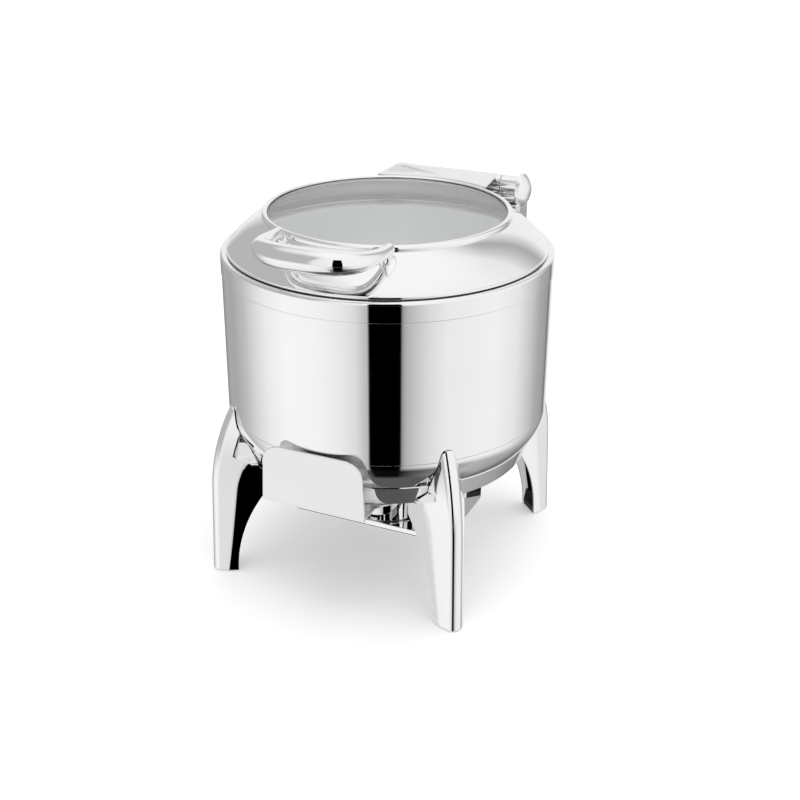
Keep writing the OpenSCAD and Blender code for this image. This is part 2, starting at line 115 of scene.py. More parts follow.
class ChaferFinish(bpy.types.PropertyGroup):
    """Colours and polish of the surfaces."""

    steel: bpy.props.FloatVectorProperty(
        name="Steel", description="Colour of the polished steel", subtype="COLOR",
        default=(0.93, 0.93, 0.935))
    polish: bpy.props.FloatProperty(
        name="Polish roughness", description="Roughness of the mirror polish", subtype="FACTOR",
        default=0.03, min=0, max=1)
    satin: bpy.props.FloatVectorProperty(
        name="Satin steel", description="Colour of the brushed plates", subtype="COLOR",
        default=(0.92, 0.92, 0.925))
    satin_roughness: bpy.props.FloatProperty(
        name="Satin roughness", description="Roughness of the brushed plates", subtype="FACTOR",
        default=0.3, min=0, max=1)
    pan: bpy.props.FloatVectorProperty(
        name="Pan steel", description="Colour of the food pan", subtype="COLOR", default=(0.96, 0.96, 0.965))
    pan_roughness: bpy.props.FloatProperty(
        name="Pan roughness", description="Roughness of the food pan", subtype="FACTOR",
        default=0.24, min=0, max=1)
    rubber: bpy.props.FloatVectorProperty(
        name="Rubber", description="Colour of feet and knob", subtype="COLOR", default=(0.012, 0.012, 0.013))
    silicone: bpy.props.FloatVectorProperty(
        name="Silicone", description="Colour of the seals", subtype="COLOR", default=(0.02, 0.02, 0.022))
    tin: bpy.props.FloatVectorProperty(
        name="Fuel tin", description="Colour of the fuel can", subtype="COLOR", default=(0.62, 0.50, 0.30))
    glass: bpy.props.FloatVectorProperty(
        name="Glass", description="Tint of the window", subtype="COLOR", default=(0.97, 0.985, 0.98))


class ChaferStudio(bpy.types.PropertyGroup):
    """Floor, light and camera."""

    floor: bpy.props.FloatVectorProperty(
        name="Floor", description="Colour of the floor", subtype="COLOR", default=(0.86, 0.865, 0.865))
    floor_fill: bpy.props.FloatProperty(
        name="Floor fill", description="Light that the floor gives off by itself", default=0.33, min=0)
    overhead: bpy.props.FloatProperty(
        name="Overhead light", description="Power of the large soft light above", default=26.0, unit="POWER")
    lens: bpy.props.FloatProperty(
        name="Lens", description="Focal length of the camera", default=56.47, unit="CAMERA")
    eye: bpy.props.FloatVectorProperty(
        name="Camera place", description="Where the camera stands", subtype="TRANSLATION",
        default=(0.5426, -1.1715, 0.7780))
    aim: bpy.props.FloatVectorProperty(
        name="Camera aim", description="The point that the camera looks at", subtype="TRANSLATION",
        default=(0.0, 0.0, 0.1774))


# ---------------------------------------------------------------- mesh helpers


def new_object(name, mesh):
    """A linked object for a mesh, at the origin."""
    obj = bpy.data.objects.new(name, mesh)
    bpy.context.scene.collection.objects.link(obj)
    return obj


def unit2(x, y):
    """A plane vector of length one."""
    size = math.hypot(x, y) or 1.0
    return x / size, y / size


def arc(cx, cz, radius, start, end, steps):
    """Points on a circle, from one angle in degrees to another."""
    out = []
    for i in range(steps + 1):
        a = math.radians(start + (end - start) * i / steps)
        out.append((cx + radius * math.cos(a), cz + radius * math.sin(a)))
    return out


def rounded(points, steps=5):
    """A closed outline with its corners rounded. A point is (x, y) or (x, y, corner radius)."""
    out = []
    count = len(points)
    for i in range(count):
        p = points[i]
        if len(p) == 2 or p[2] <= 0:
            out.append((p[0], p[1]))
            continue
        a, b = points[i - 1], points[(i + 1) % count]
        ux, uy = unit2(a[0] - p[0], a[1] - p[1])
        vx, vy = unit2(b[0] - p[0], b[1] - p[1])
        half = math.acos(max(-1.0, min(1.0, ux * vx + uy * vy))) / 2
        if half > math.pi / 2 - 1e-3 or half < 1e-3:
            out.append((p[0], p[1]))
            continue
        back = p[2] / math.tan(half)
        mx, my = unit2(ux + vx, uy + vy)
        reach = p[2] / math.sin(half)
        cx, cy = p[0] + mx * reach, p[1] + my * reach
        t0 = (p[0] + ux * back - cx, p[1] + uy * back - cy)
        t1 = (p[0] + vx * back - cx, p[1] + vy * back - cy)
        a0 = math.atan2(t0[1], t0[0])
        turn = math.atan2(t0[0] * t1[1] - t0[1] * t1[0], t0[0] * t1[0] + t0[1] * t1[1])
        for k in range(steps + 1):
            a1 = a0 + turn * k / steps
            out.append((cx + p[2] * math.cos(a1), cy + p[2] * math.sin(a1)))
    return out


def area2(points):
    """Signed area of a closed outline, positive when it runs anticlockwise."""
    total = 0.0
    for i, p in enumerate(points):
        q = points[i - 1]
        total += q[0] * p[1] - p[0] * q[1]
    return total / 2


def lathe(name, outline, segments=256, place=None, crease=38):
    """A closed turned piece from an outline of (radius, height) in millimetres, with true normals.

    A joint of the outline that turns by more than crease degrees stays a sharp edge."""
    pts = [outline[0]]
    for p in outline[1:]:
        if math.hypot(p[0] - pts[-1][0], p[1] - pts[-1][1]) > 1e-4:
            pts.append(p)
    if math.hypot(pts[0][0] - pts[-1][0], pts[0][1] - pts[-1][1]) < 1e-4:
        pts.pop()
    if area2(pts) < 0:
        pts.reverse()
    count = len(pts)
    edges = []
    for i in range(count):
        p, q = pts[i], pts[(i + 1) % count]
        dx, dz = q[0] - p[0], q[1] - p[1]
        size = math.hypot(dx, dz)
        edges.append((dz / size, -dx / size, size))
    ends = []
    for i in range(count):
        own = edges[i]
        pair = []
        for other in (edges[i - 1], edges[(i + 1) % count]):
            dot = own[0] * other[0] + own[1] * other[1]
            if dot < math.cos(math.radians(crease)):
                pair.append((own[0], own[1]))
            else:
                pair.append(unit2(own[0] * own[2] + other[0] * other[2],
                                  own[1] * own[2] + other[1] * other[2]))
        ends.append(pair)
    place = place or Matrix.Identity(4)
    turn = place.to_3x3()
    verts, rows = [], []
    for r, z in pts:
        if abs(r) < 1e-6:
            rows.append([len(verts)] * segments)
            verts.append(place @ Vector((0, 0, z * MM)))
            continue
        row = []
        for j in range(segments):
            a = 2 * math.pi * j / segments
            row.append(len(verts))
            verts.append(place @ Vector((r * MM * math.cos(a), r * MM * math.sin(a), z * MM)))
        rows.append(row)
    faces, normals = [], []
    rays = [(math.cos(2 * math.pi * j / segments), math.sin(2 * math.pi * j / segments))
            for j in range(segments)]
    for i in range(count):
        k = (i + 1) % count
        if abs(pts[i][0]) < 1e-6 and abs(pts[k][0]) < 1e-6:
            continue
        (n0x, n0z), (n1x, n1z) = ends[i]
        for j in range(segments):
            m = (j + 1) % segments
            corners = [(rows[i][j], n0x, n0z, j), (rows[i][m], n0x, n0z, m),
                       (rows[k][m], n1x, n1z, m), (rows[k][j], n1x, n1z, j)]
            if abs(pts[i][0]) < 1e-6:
                corners.pop(1)
            elif abs(pts[k][0]) < 1e-6:
                corners.pop(2)
            faces.append([c[0] for c in corners])
            for _, nx, nz, at in corners:
                normals.append(turn @ Vector((nx * rays[at][0], nx * rays[at][1], nz)))
    mesh = bpy.data.meshes.new(name)
    mesh.from_pydata(verts, [], faces)
    mesh.shade_smooth()
    mesh.normals_split_custom_set([n.normalized() for n in normals])
    mesh.update()
    return new_object(name, mesh)


def along_x(x, y, z):
    """Place for a turned piece whose axis runs along +X from a point in millimetres."""
    return Matrix.Translation((x * MM, y * MM, z * MM)) @ Matrix.Rotation(math.pi / 2, 4, "Y")


def slab(bm, outline, low, high, to_space, soft=0.4, steps=2):
    """Adds a plate to bm: a flat outline in millimetres with its rims softened.

    to_space turns (x, y, depth) into space."""
    pts = list(outline)
    if area2(pts) < 0:
        pts.reverse()
    lower = [bm.verts.new(to_space(x, y, low) * MM) for x, y in pts]
    upper = [bm.verts.new(to_space(x, y, high) * MM) for x, y in pts]
    count = len(pts)
    made = [bm.faces.new(upper), bm.faces.new(lower[::-1])]
    for i in range(count):
        k = (i + 1) % count
        made.append(bm.faces.new((lower[i], lower[k], upper[k], upper[i])))
    bmesh.ops.recalc_face_normals(bm, faces=made)
    if soft > 0:
        rims = list({e for f in made[:2] for e in f.edges})
        bmesh.ops.bevel(bm, geom=rims, offset=soft * MM, segments=steps, profile=0.5, affect="EDGES",
                        clamp_overlap=True)


def flat_space(x, y, d):
    """Drawing plane level, depth upward."""
    return Vector((x, y, d))


def front_space(x, y, d):
    """Drawing plane facing -Y, depth along +Y."""
    return Vector((x, d, y))


def side_space(x, y, d):
    """Drawing plane facing +X, depth along +X: x runs along Y and y along Z."""
    return Vector((d, x, y))


def object_from(bm, name, angle=35):
    """A smooth object from bm, with sharp edges past an angle and normals led by the large faces."""
    mesh = bpy.data.meshes.new(name)
    bm.to_mesh(mesh)
    bm.free()
    mesh.shade_smooth()
    mesh.set_sharp_from_angle(angle=math.radians(angle))
    obj = new_object(name, mesh)
    lead = obj.modifiers.new("lead", "WEIGHTED_NORMAL")
    lead.keep_sharp = True
    lead.weight = 80
    return settle(obj)


def settle(obj):
    """Writes an object's modifiers into its mesh."""
    graph = bpy.context.evaluated_depsgraph_get()
    mesh = bpy.data.meshes.new_from_object(obj.evaluated_get(graph))
    mesh.name = obj.name
    old = obj.data
    obj.modifiers.clear()
    obj.data = mesh
    bpy.data.meshes.remove(old)
    return obj


def skin_over(bm, rows):
    """Faces between closed rows of vertices, all of one length, with a cap on the first and the last."""
    size = len(rows[0])
    made = []
    for a, b in zip(rows, rows[1:]):
        for i in range(size):
            k = (i + 1) % size
            made.append(bm.faces.new((a[i], a[k], b[k], b[i])))
    return made + [bm.faces.new(rows[0][::-1]), bm.faces.new(rows[-1])]


def loft(name, rings):
    """A closed skin through rings of points in metres, each ring closed and all of one length."""
    bm = bmesh.new()
    skin_over(bm, [[bm.verts.new(p) for p in ring] for ring in rings])
    bmesh.ops.remove_doubles(bm, verts=bm.verts, dist=1e-7)
    bmesh.ops.recalc_face_normals(bm, faces=bm.faces)
    return object_from(bm, name, 60)


def stand_in(obj, body, slot, material, *nodes):
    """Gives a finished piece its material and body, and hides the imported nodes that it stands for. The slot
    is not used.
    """
    obj.data.materials.clear()
    obj.data.materials.append(material)
    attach(obj, body)
    if nodes:
        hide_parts(*nodes)
    return obj


def dress(node, material):
    """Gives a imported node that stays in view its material."""
    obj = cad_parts[node]
    obj.data.materials.clear()
    obj.data.materials.append(material)
    return obj


# ---------------------------------------------------------------- materials


class Graph:
    """Short hand for building a node tree."""

    def __init__(self, tree):
        self.tree = tree

    def add(self, kind, inputs=None, **values):
        node = self.tree.nodes.new(kind)
        for key, value in values.items():
            setattr(node, key, value)
        for key, value in (inputs or {}).items():
            self.feed(node.inputs[key], value)
        return node

    def feed(self, socket, value):
        if isinstance(value, bpy.types.NodeSocket):
            self.tree.links.new(value, socket)
        elif isinstance(value, bpy.types.Node):
            self.tree.links.new(value.outputs[0], socket)
        else:
            socket.default_value = value

    def math(self, operation, a, b=0.0, c=0.0):
        return self.add("ShaderNodeMath", {0: a, 1: b, 2: c}, operation=operation).outputs[0]

    def ramp(self, factor, stops):
        node = self.add("ShaderNodeValToRGB", {0: factor})
        elements = node.color_ramp.elements
        while len(elements) > 1:
            elements.remove(elements[-1])
        for i, (at, level) in enumerate(stops):
            spot = elements[0] if i == 0 else elements.new(at)
            spot.position = at
            spot.color = (level, level, level, 1) if isinstance(level, float) else (*level, 1)
        return node.outputs[0]


def opaque(colour):
    """A colour with full alpha."""
    return (colour[0], colour[1], colour[2], 1.0)


def start_material(name):
    """A new material, its graph and its main shader."""
    material = bpy.data.materials.new(name)
    material.use_nodes = True
    tree = material.node_tree
    tree.nodes.clear()
    g = Graph(tree)
    shader = g.add("ShaderNodeBsdfPrincipled")
    out = g.add("ShaderNodeOutputMaterial")
    tree.links.new(shader.outputs[0], out.inputs[0])
    return material, g, shader


def stretched_noise(g, stretch, scale, detail=3.0):
    """Noise on object coordinates, drawn out along the axes with small stretch values."""
    where = g.add("ShaderNodeTexCoord").outputs["Object"]
    mapped = g.add("ShaderNodeMapping", {"Vector": where, "Scale": stretch})
    return g.add("ShaderNodeTexNoise", {"Vector": mapped, "Scale": scale, "Detail": detail}).outputs[0]


def spread(g, value, low, high):
    """Moves a 0.3 to 0.7 noise value into a range."""
    return g.add("ShaderNodeMapRange",
                 {"Value": value, "From Min": 0.3, "From Max": 0.7, "To Min": low, "To Max": high}).outputs[0]


def tinted(g, colour, amount, noise):
    """A colour whose lightness wanders a little with the noise."""
    low = opaque([c * (1 - amount) for c in colour])
    factor = spread(g, noise, 0.0, 1.0)
    mix = g.add("ShaderNodeMix", {0: factor, 6: low, 7: opaque(colour)}, data_type="RGBA")
    return mix.outputs[2]


def add_bump(g, shader, height, strength, distance):
    """Fine relief on a surface, from a height value."""
    bump = g.add("ShaderNodeBump", {"Strength": strength, "Distance": distance, "Height": height})
    g.feed(shader.inputs["Normal"], bump.outputs[0])


def polished_steel():
    """Mirror polish with faint buffing lines and a film of handling that changes its gloss."""
    finish = bpy.context.scene.chafer_finish
    material, g, shader = start_material("polished_steel")
    cloud = stretched_noise(g, (1, 1, 1), 14.0, 4.0)
    lines = stretched_noise(g, (30, 30, 900), 1.0, 2.0)
    g.feed(shader.inputs["Base Color"], tinted(g, finish.steel, 0.02, cloud))
    shader.inputs["Metallic"].default_value = 1.0
    base = spread(g, cloud, finish.polish * 0.7, finish.polish * 1.3)
    g.feed(shader.inputs["Roughness"], g.math("ADD", base, spread(g, lines, 0.0, 0.012)))
    add_bump(g, shader, lines, 0.02, 0.0002)
    return material


def satin_steel():
    """Plate with a fine brushed grain along its length."""
    finish = bpy.context.scene.chafer_finish
    material, g, shader = start_material("satin_steel")
    grain = stretched_noise(g, (12, 900, 900), 1.0, 4.0)
    cloud = stretched_noise(g, (1, 1, 1), 20.0)
    g.feed(shader.inputs["Base Color"], tinted(g, finish.satin, 0.03, grain))
    shader.inputs["Metallic"].default_value = 1.0
    rough = finish.satin_roughness
    g.feed(shader.inputs["Roughness"],
           g.math("ADD", spread(g, grain, rough * 0.85, rough * 1.1), spread(g, cloud, 0.0, 0.03)))
    add_bump(g, shader, grain, 0.05, 0.0002)
    return material


def pan_steel():
    """Softly blasted inside of the food pan, with a few wiping marks."""
    finish = bpy.context.scene.chafer_finish
    material, g, shader = start_material("pan_steel")
    grain = stretched_noise(g, (700, 700, 60), 1.0, 3.0)
    cloud = stretched_noise(g, (1, 1, 1), 18.0)
    g.feed(shader.inputs["Base Color"], tinted(g, finish.pan, 0.02, cloud))
    shader.inputs["Metallic"].default_value = 0.5
    rough = finish.pan_roughness
    g.feed(shader.inputs["Roughness"],
           g.math("ADD", spread(g, grain, rough * 0.97, rough * 1.03), spread(g, cloud, 0.0, 0.02)))
    add_bump(g, shader, grain, 0.012, 0.0002)
    return material


def black_rubber():
    """Dull black rubber with a fine moulded grain."""
    finish = bpy.context.scene.chafer_finish
    material, g, shader = start_material("black_rubber")
    grain = stretched_noise(g, (1, 1, 1), 900.0, 4.0)
    cloud = stretched_noise(g, (1, 1, 1), 60.0)
    g.feed(shader.inputs["Base Color"], tinted(g, finish.rubber, 0.35, cloud))
    g.feed(shader.inputs["Roughness"], spread(g, cloud, 0.5, 0.7))
    add_bump(g, shader, grain, 0.25, 0.0002)
    return material


def seal_silicone():
    """Dark seal with a soft sheen and dust in its pores."""
    finish = bpy.context.scene.chafer_finish
    material, g, shader = start_material("seal_silicone")
    cloud = stretched_noise(g, (1, 1, 1), 90.0, 4.0)
    g.feed(shader.inputs["Base Color"], tinted(g, finish.silicone, 0.3, cloud))
    g.feed(shader.inputs["Roughness"], spread(g, cloud, 0.32, 0.48))
    add_bump(g, shader, cloud, 0.12, 0.0002)
    return material


def fuel_tin():
    """Lacquered tin with small dents and rubbed spots."""
    finish = bpy.context.scene.chafer_finish
    material, g, shader = start_material("fuel_tin")
    cloud = stretched_noise(g, (1, 1, 1), 45.0, 4.0)
    g.feed(shader.inputs["Base Color"], tinted(g, finish.tin, 0.25, cloud))
    shader.inputs["Metallic"].default_value = 1.0
    g.feed(shader.inputs["Roughness"], spread(g, cloud, 0.25, 0.45))
    add_bump(g, shader, cloud, 0.15, 0.0004)
    return material


def clear_glass():
    """Window glass that lets lamps through to what is below it, with faint wiping marks in its gloss."""
    finish = bpy.context.scene.chafer_finish
    material, g, shader = start_material("clear_glass")
    cloud = stretched_noise(g, (1, 1, 1), 30.0, 3.0)
    shader.inputs["Base Color"].default_value = opaque(finish.glass)
    shader.inputs["Transmission Weight"].default_value = 1.0
    shader.inputs["IOR"].default_value = 1.45
    g.feed(shader.inputs["Roughness"], spread(g, cloud, 0.0, 0.012))
    clear = g.add("ShaderNodeBsdfTransparent", {"Color": opaque(finish.glass)})
    path = g.add("ShaderNodeLightPath")
    pass_through = g.math("MAXIMUM", path.outputs["Is Shadow Ray"], path.outputs["Is Diffuse Ray"])
    mix = g.add("ShaderNodeMixShader", {0: pass_through, 1: shader.outputs[0], 2: clear.outputs[0]})
    out = next(n for n in g.tree.nodes if n.type == "OUTPUT_MATERIAL")
    g.feed(out.inputs[0], mix.outputs[0])
    return material


MAKERS = {
    "polished_steel": polished_steel,
    "satin_steel": satin_steel,
    "pan_steel": pan_steel,
    "black_rubber": black_rubber,
    "silicone": seal_silicone,
    "fuel_tin": fuel_tin,
    "clear_glass": clear_glass,
}
made_materials = {}


def look(slot):
    """The material of a finish slot, made once."""
    if slot not in made_materials:
        made_materials[slot] = MAKERS[slot]()
    return made_materials[slot]


def add_piece(obj, body, slot, *nodes):
    """Finishes a piece with its slot's material."""
    return stand_in(obj, body, slot, look(slot), *nodes)


# ---------------------------------------------------------------- fasteners from a node tree


def fastener_tree(name, socket_share, hex_base):
    """Node tree that puts a domed fastener on every point, turned to the point's axis."""
    tree = bpy.data.node_groups.new(name, "GeometryNodeTree")
    face = tree.interface
    face.new_socket("Points", in_out="INPUT", socket_type="NodeSocketGeometry")
    for label, value in (("Radius", 0.004), ("Height", 0.003)):
        item = face.new_socket(label, in_out="INPUT", socket_type="NodeSocketFloat")
        item.default_value = value
        item.subtype = "DISTANCE"
    face.new_socket("Material", in_out="INPUT", socket_type="NodeSocketMaterial")
    face.new_socket("Mesh", in_out="OUTPUT", socket_type="NodeSocketGeometry")
    g = Graph(tree)
    given = g.add("NodeGroupInput")
    radius, height = given.outputs["Radius"], given.outputs["Height"]
    ball = g.add("GeometryNodeMeshUVSphere", {"Segments": 40, "Rings": 20, "Radius": 1.0})
    place = g.add("GeometryNodeInputPosition")
    parts = g.add("ShaderNodeSeparateXYZ", {0: place})
    lifted = g.math("MAXIMUM", parts.outputs[2], 0.0)
    held = g.add("ShaderNodeCombineXYZ", {0: parts.outputs[0], 1: parts.outputs[1], 2: lifted})
    cap = g.add("GeometryNodeSetPosition", {"Geometry": ball, "Position": held})
    shape = cap.outputs[0]
    if socket_share:
        pit = g.add("GeometryNodeMeshCylinder", {"Vertices": 6, "Radius": socket_share, "Depth": 1.0})
        moved = g.add("GeometryNodeTransform", {"Geometry": pit.outputs[0], "Translation": (0.0, 0.0, 0.95)})
        cut = g.add("GeometryNodeMeshBoolean", operation="DIFFERENCE")
        tree.links.new(shape, cut.inputs[0])
        tree.links.new(moved.outputs[0], cut.inputs[1])
        shape = cut.outputs[0]
    size = g.add("ShaderNodeCombineXYZ", {0: radius, 1: radius, 2: height})
    shape = g.add("GeometryNodeTransform", {"Geometry": shape, "Scale": size}).outputs[0]
    if hex_base:
        nut_height = g.math("MULTIPLY", height, 0.45)
        nut = g.add("GeometryNodeMeshCylinder", {
            "Vertices": 6, "Radius": g.math("MULTIPLY", radius, 1.12), "Depth": nut_height})
        up = g.add("ShaderNodeCombineXYZ", {0: 0.0, 1: 0.0, 2: g.math("MULTIPLY", nut_height, 0.5)})
        moved = g.add("GeometryNodeTransform", {"Geometry": nut.outputs[0], "Translation": up})
        shape = g.add("GeometryNodeJoinGeometry", {0: shape}).outputs[0]
        tree.links.new(moved.outputs[0], shape.node.inputs[0])
    axis = g.add("GeometryNodeInputNamedAttribute", {"Name": "axis"}, data_type="FLOAT_VECTOR")
    turn = g.add("FunctionNodeAlignRotationToVector", {"Vector": axis.outputs[0]}, axis="Z")
    many = g.add("GeometryNodeInstanceOnPoints", {
        "Points": given.outputs["Points"], "Instance": shape, "Rotation": turn.outputs[0]})
    real = g.add("GeometryNodeRealizeInstances", {0: many.outputs[0]})
    painted = g.add("GeometryNodeSetMaterial", {
        "Geometry": real.outputs[0], "Material": given.outputs["Material"]})
    out = g.add("NodeGroupOutput")
    tree.links.new(painted.outputs[0], out.inputs[0])
    return tree


def fasteners(name, tree, spots, radius, height, body, node, slot="polished_steel"):
    """Puts fasteners on spots, each a point and a direction in millimetres, and stands them in for a node."""
    mesh = bpy.data.meshes.new(name + "_points")
    mesh.from_pydata([Vector(p) * MM for p, _ in spots], [], [])
    layer = mesh.attributes.new("axis", "FLOAT_VECTOR", "POINT")
    layer.data.foreach_set("vector", [c for _, d in spots for c in Vector(d).normalized()])
    holder = new_object(name, mesh)
    modifier = holder.modifiers.new("fasteners", "NODES")
    modifier.node_group = tree
    keys = {i.name: i.identifier for i in tree.interface.items_tree if i.item_type == "SOCKET"}
    modifier[keys["Radius"]] = radius * MM
    modifier[keys["Height"]] = height * MM
    modifier[keys["Material"]] = look(slot)
    settle(holder)
    holder.data.shade_smooth()
    holder.data.set_sharp_from_angle(angle=math.radians(32))
    return add_piece(holder, body, slot, node)


# ---------------------------------------------------------------- shapes shared by pieces


def dome_numbers():
    """Centre, radius and upper end of the lid's slope in millimetres, from its two ends and its bulge."""
    sizes = bpy.context.scene.chafer_sizes
    bulge = 2.5
    a = Vector((sizes.lid_radius / MM - 1, sizes.lid_foot / MM + 2.6))
    b = Vector((sizes.bezel_radius / MM - 0.7, sizes.bezel_top / MM - 5.8))
    chord = (b - a).length
    way = (b - a) / chord
    radius = chord * chord / (8 * bulge) + bulge / 2
    centre = (a + b) / 2 + Vector((-way.y, way.x)) * (radius - bulge)
    return centre, radius, b


def dome_height(r):
    """Height of the lid's slope at a distance from the middle, in millimetres."""
    centre, radius, _ = dome_numbers()
    return centre.y + math.sqrt(radius * radius - (r - centre.x) ** 2)


def on_dome(angle, r, lift=0.0):
    """A point on the lid's slope and the direction that stands off it, at an angle in degrees from +X."""
    centre, radius, _ = dome_numbers()
    tilt = math.asin((r - centre.x) / radius)
    a = math.radians(angle)
    out = Vector((math.cos(a) * math.sin(tilt), math.sin(a) * math.sin(tilt), math.cos(tilt)))
    foot = Vector((r * math.cos(a), r * math.sin(a), dome_height(r)))
    return foot + out * lift, out


def bullet(half, depth, tip, steps=14):
    """Half outline of a leg's face, from the middle of its nose (0, 0) back to (-depth, half)."""
    rho = ((depth - tip) ** 2 + half * half - tip * tip) / (2 * (half - tip))
    cut = -depth + rho * (depth - tip) / (rho - tip)
    limit = math.acos(max(-1.0, min(1.0, (cut + tip) / tip)))
    out = []
    for i in range(steps + 1):
        a = limit * i / steps
        out.append((-tip + tip * math.cos(a), tip * math.sin(a)))
    start = math.atan2(out[-1][1] + rho - half, cut + depth)
    for i in range(1, steps + 1):
        a = start + (math.pi / 2 - start) * i / steps
        out.append((-depth + rho * math.cos(a), -(rho - half) + rho * math.sin(a)))
    return out


# ---------------------------------------------------------------- operators

# Sizes of the stand and the legs in millimetres. r is a distance from the chafer's upright middle line.
RING_FOOT = 157.0  # outer r of the support ring at its lower edge
RING_RIM = 165.5  # outer r of the support ring at its upper edge
RING_GAP = 0.15  # between the ring and a leg
BOWL = 46.0  # radius of the rounding under the tank
TANK_GAP = 0.7  # between the tank and a leg
LEG_BACK = 144.2  # least r of a leg's inner edge
LEG_ARCH = (12.6, 0.6, 173.1)  # r and height of the centre of the arch below that edge, and its radius
NOSE_LEAN = 2.2  # degrees that the nose leans out below its bend
NOSE_BEND = (206.4, 103.9, 218.0)  # r and height where the bend starts, and its radius
NOSE_BALL = 9.7  # radius of the nose's rounding
WEDGE = 28  # degrees between the faces beside the nose and the leg's middle plane
SIDE_SLOPE = 16  # degrees between the sides behind them and that plane
SIDE_AT = (194.9, 13.8, 0.0127)  # r and half width of a side at the floor, and its growth with height
TIP_ARCH = (40, 8)  # length of the arch at a leg's tip, and radius of its point
SPREAD = (55, 13, 32)  # distance below the tip where a leg widens, over what length, to what half width
HANDLE_TURN = 25  # degrees from the front to a foot of the handle
HANDLE_FOOT = 144  # r of the middle of that foot


class CHAFER_OT_stand(bpy.types.Operator):
    """Build the support ring, the front shield and the fuel shelf"""

    bl_idname = "chafer.stand"
    bl_label = "Stand"

    def execute(self, context):
        low, high = foot_of("support_ring"), top_of("support_ring")
        sheet, inner = 2.0, 145
        r0, r1 = RING_FOOT, high.x
        ring = rounded([(inner, low.z, 0.3), (r0, low.z, 2.2), (r1, high.z, 0.7), (r1 - 2.2, high.z, 0.7),
                        (r0 - 1.6, low.z + sheet, 1.0), (inner, low.z + sheet, 0.3)], 6)
        add_piece(lathe("ring_band", ring), "stand", "polished_steel", "support_ring")
        self.shield()
        self.shelf()
        return {"FINISHED"}

    def shield(self):
        low, high = foot_of("front_shield"), top_of("front_shield")
        half, corner, sheet = 59.5, 20, 2
        face = -low.y
        bm = bmesh.new()
        outline = rounded([(-half, low.z), (half, low.z),
                           (half - 3, high.z, corner), (-half + 3, high.z, corner)], 20)
        slab(bm, outline, -face, -face + sheet, front_space, 0.6, 3)
        fillet, inset, root = 20.0, 1.5, 146
        cx = half + fillet - inset
        cy = math.sqrt((RING_FOOT + fillet) ** 2 - cx * cx)
        right = arc(cx, -cy, fillet, 180.0, math.degrees(math.atan2(cy, -cx)), 18)
        span = math.degrees(math.atan2(right[-1][0], -right[-1][1]))
        inner = []
        for i in range(37):
            a = math.radians(span - 2 * span * i / 36)
            inner.append((root * math.sin(a), -root * math.cos(a)))
        left = [(-x, y) for x, y in right[::-1]]
        tongue = [(half - inset, -face + 1), *right, *inner, *left, (-half + inset, -face + 1)]
        slab(bm, tongue, low.z, low.z + sheet, flat_space, 0.4, 2)
        add_piece(object_from(bm, "shield_plate"), "stand", "satin_steel", "front_shield")

    def shelf(self):
        low, high = foot_of("fuel_shelf"), top_of("fuel_shelf")
        w, d, t, k = 97.0, 54.0, 2.0, 5.0  # half width, half depth, sheet, bend radius
        ear_end, ear_half = 152, 22
        z0, z1 = low.z, high.z
        bm = bmesh.new()
        outer = [(-w, z1), (-w, z0, k + 1), (w, z0, k + 1), (w, z1)]
        inner = [(w - t, z1), (w - t, z0 + t, k - 1), (-w + t, z0 + t, k - 1), (-w + t, z1)]
        slab(bm, rounded(outer + inner, 8), -d, d, front_space, 0.35, 2)
        lip = rounded([(-w + 6, z0 + 0.4), (w - 6, z0 + 0.4), (w - 6, z0 + 7, 2), (-w + 6, z0 + 7, 2)], 5)
        slab(bm, lip, -d, -d + t, front_space, 0.35, 2)
        for s in (-1, 1):
            ear = rounded([(s * (w - t), -ear_half, 0.5), (s * ear_end, -ear_half, 4),
                           (s * ear_end, ear_half, 4), (s * (w - t), ear_half, 0.5)], 5)
            slab(bm, ear, z1 - t, z1, flat_space, 0.3, 2)
        add_piece(object_from(bm, "shelf_tray"), "stand", "polished_steel", "fuel_shelf")


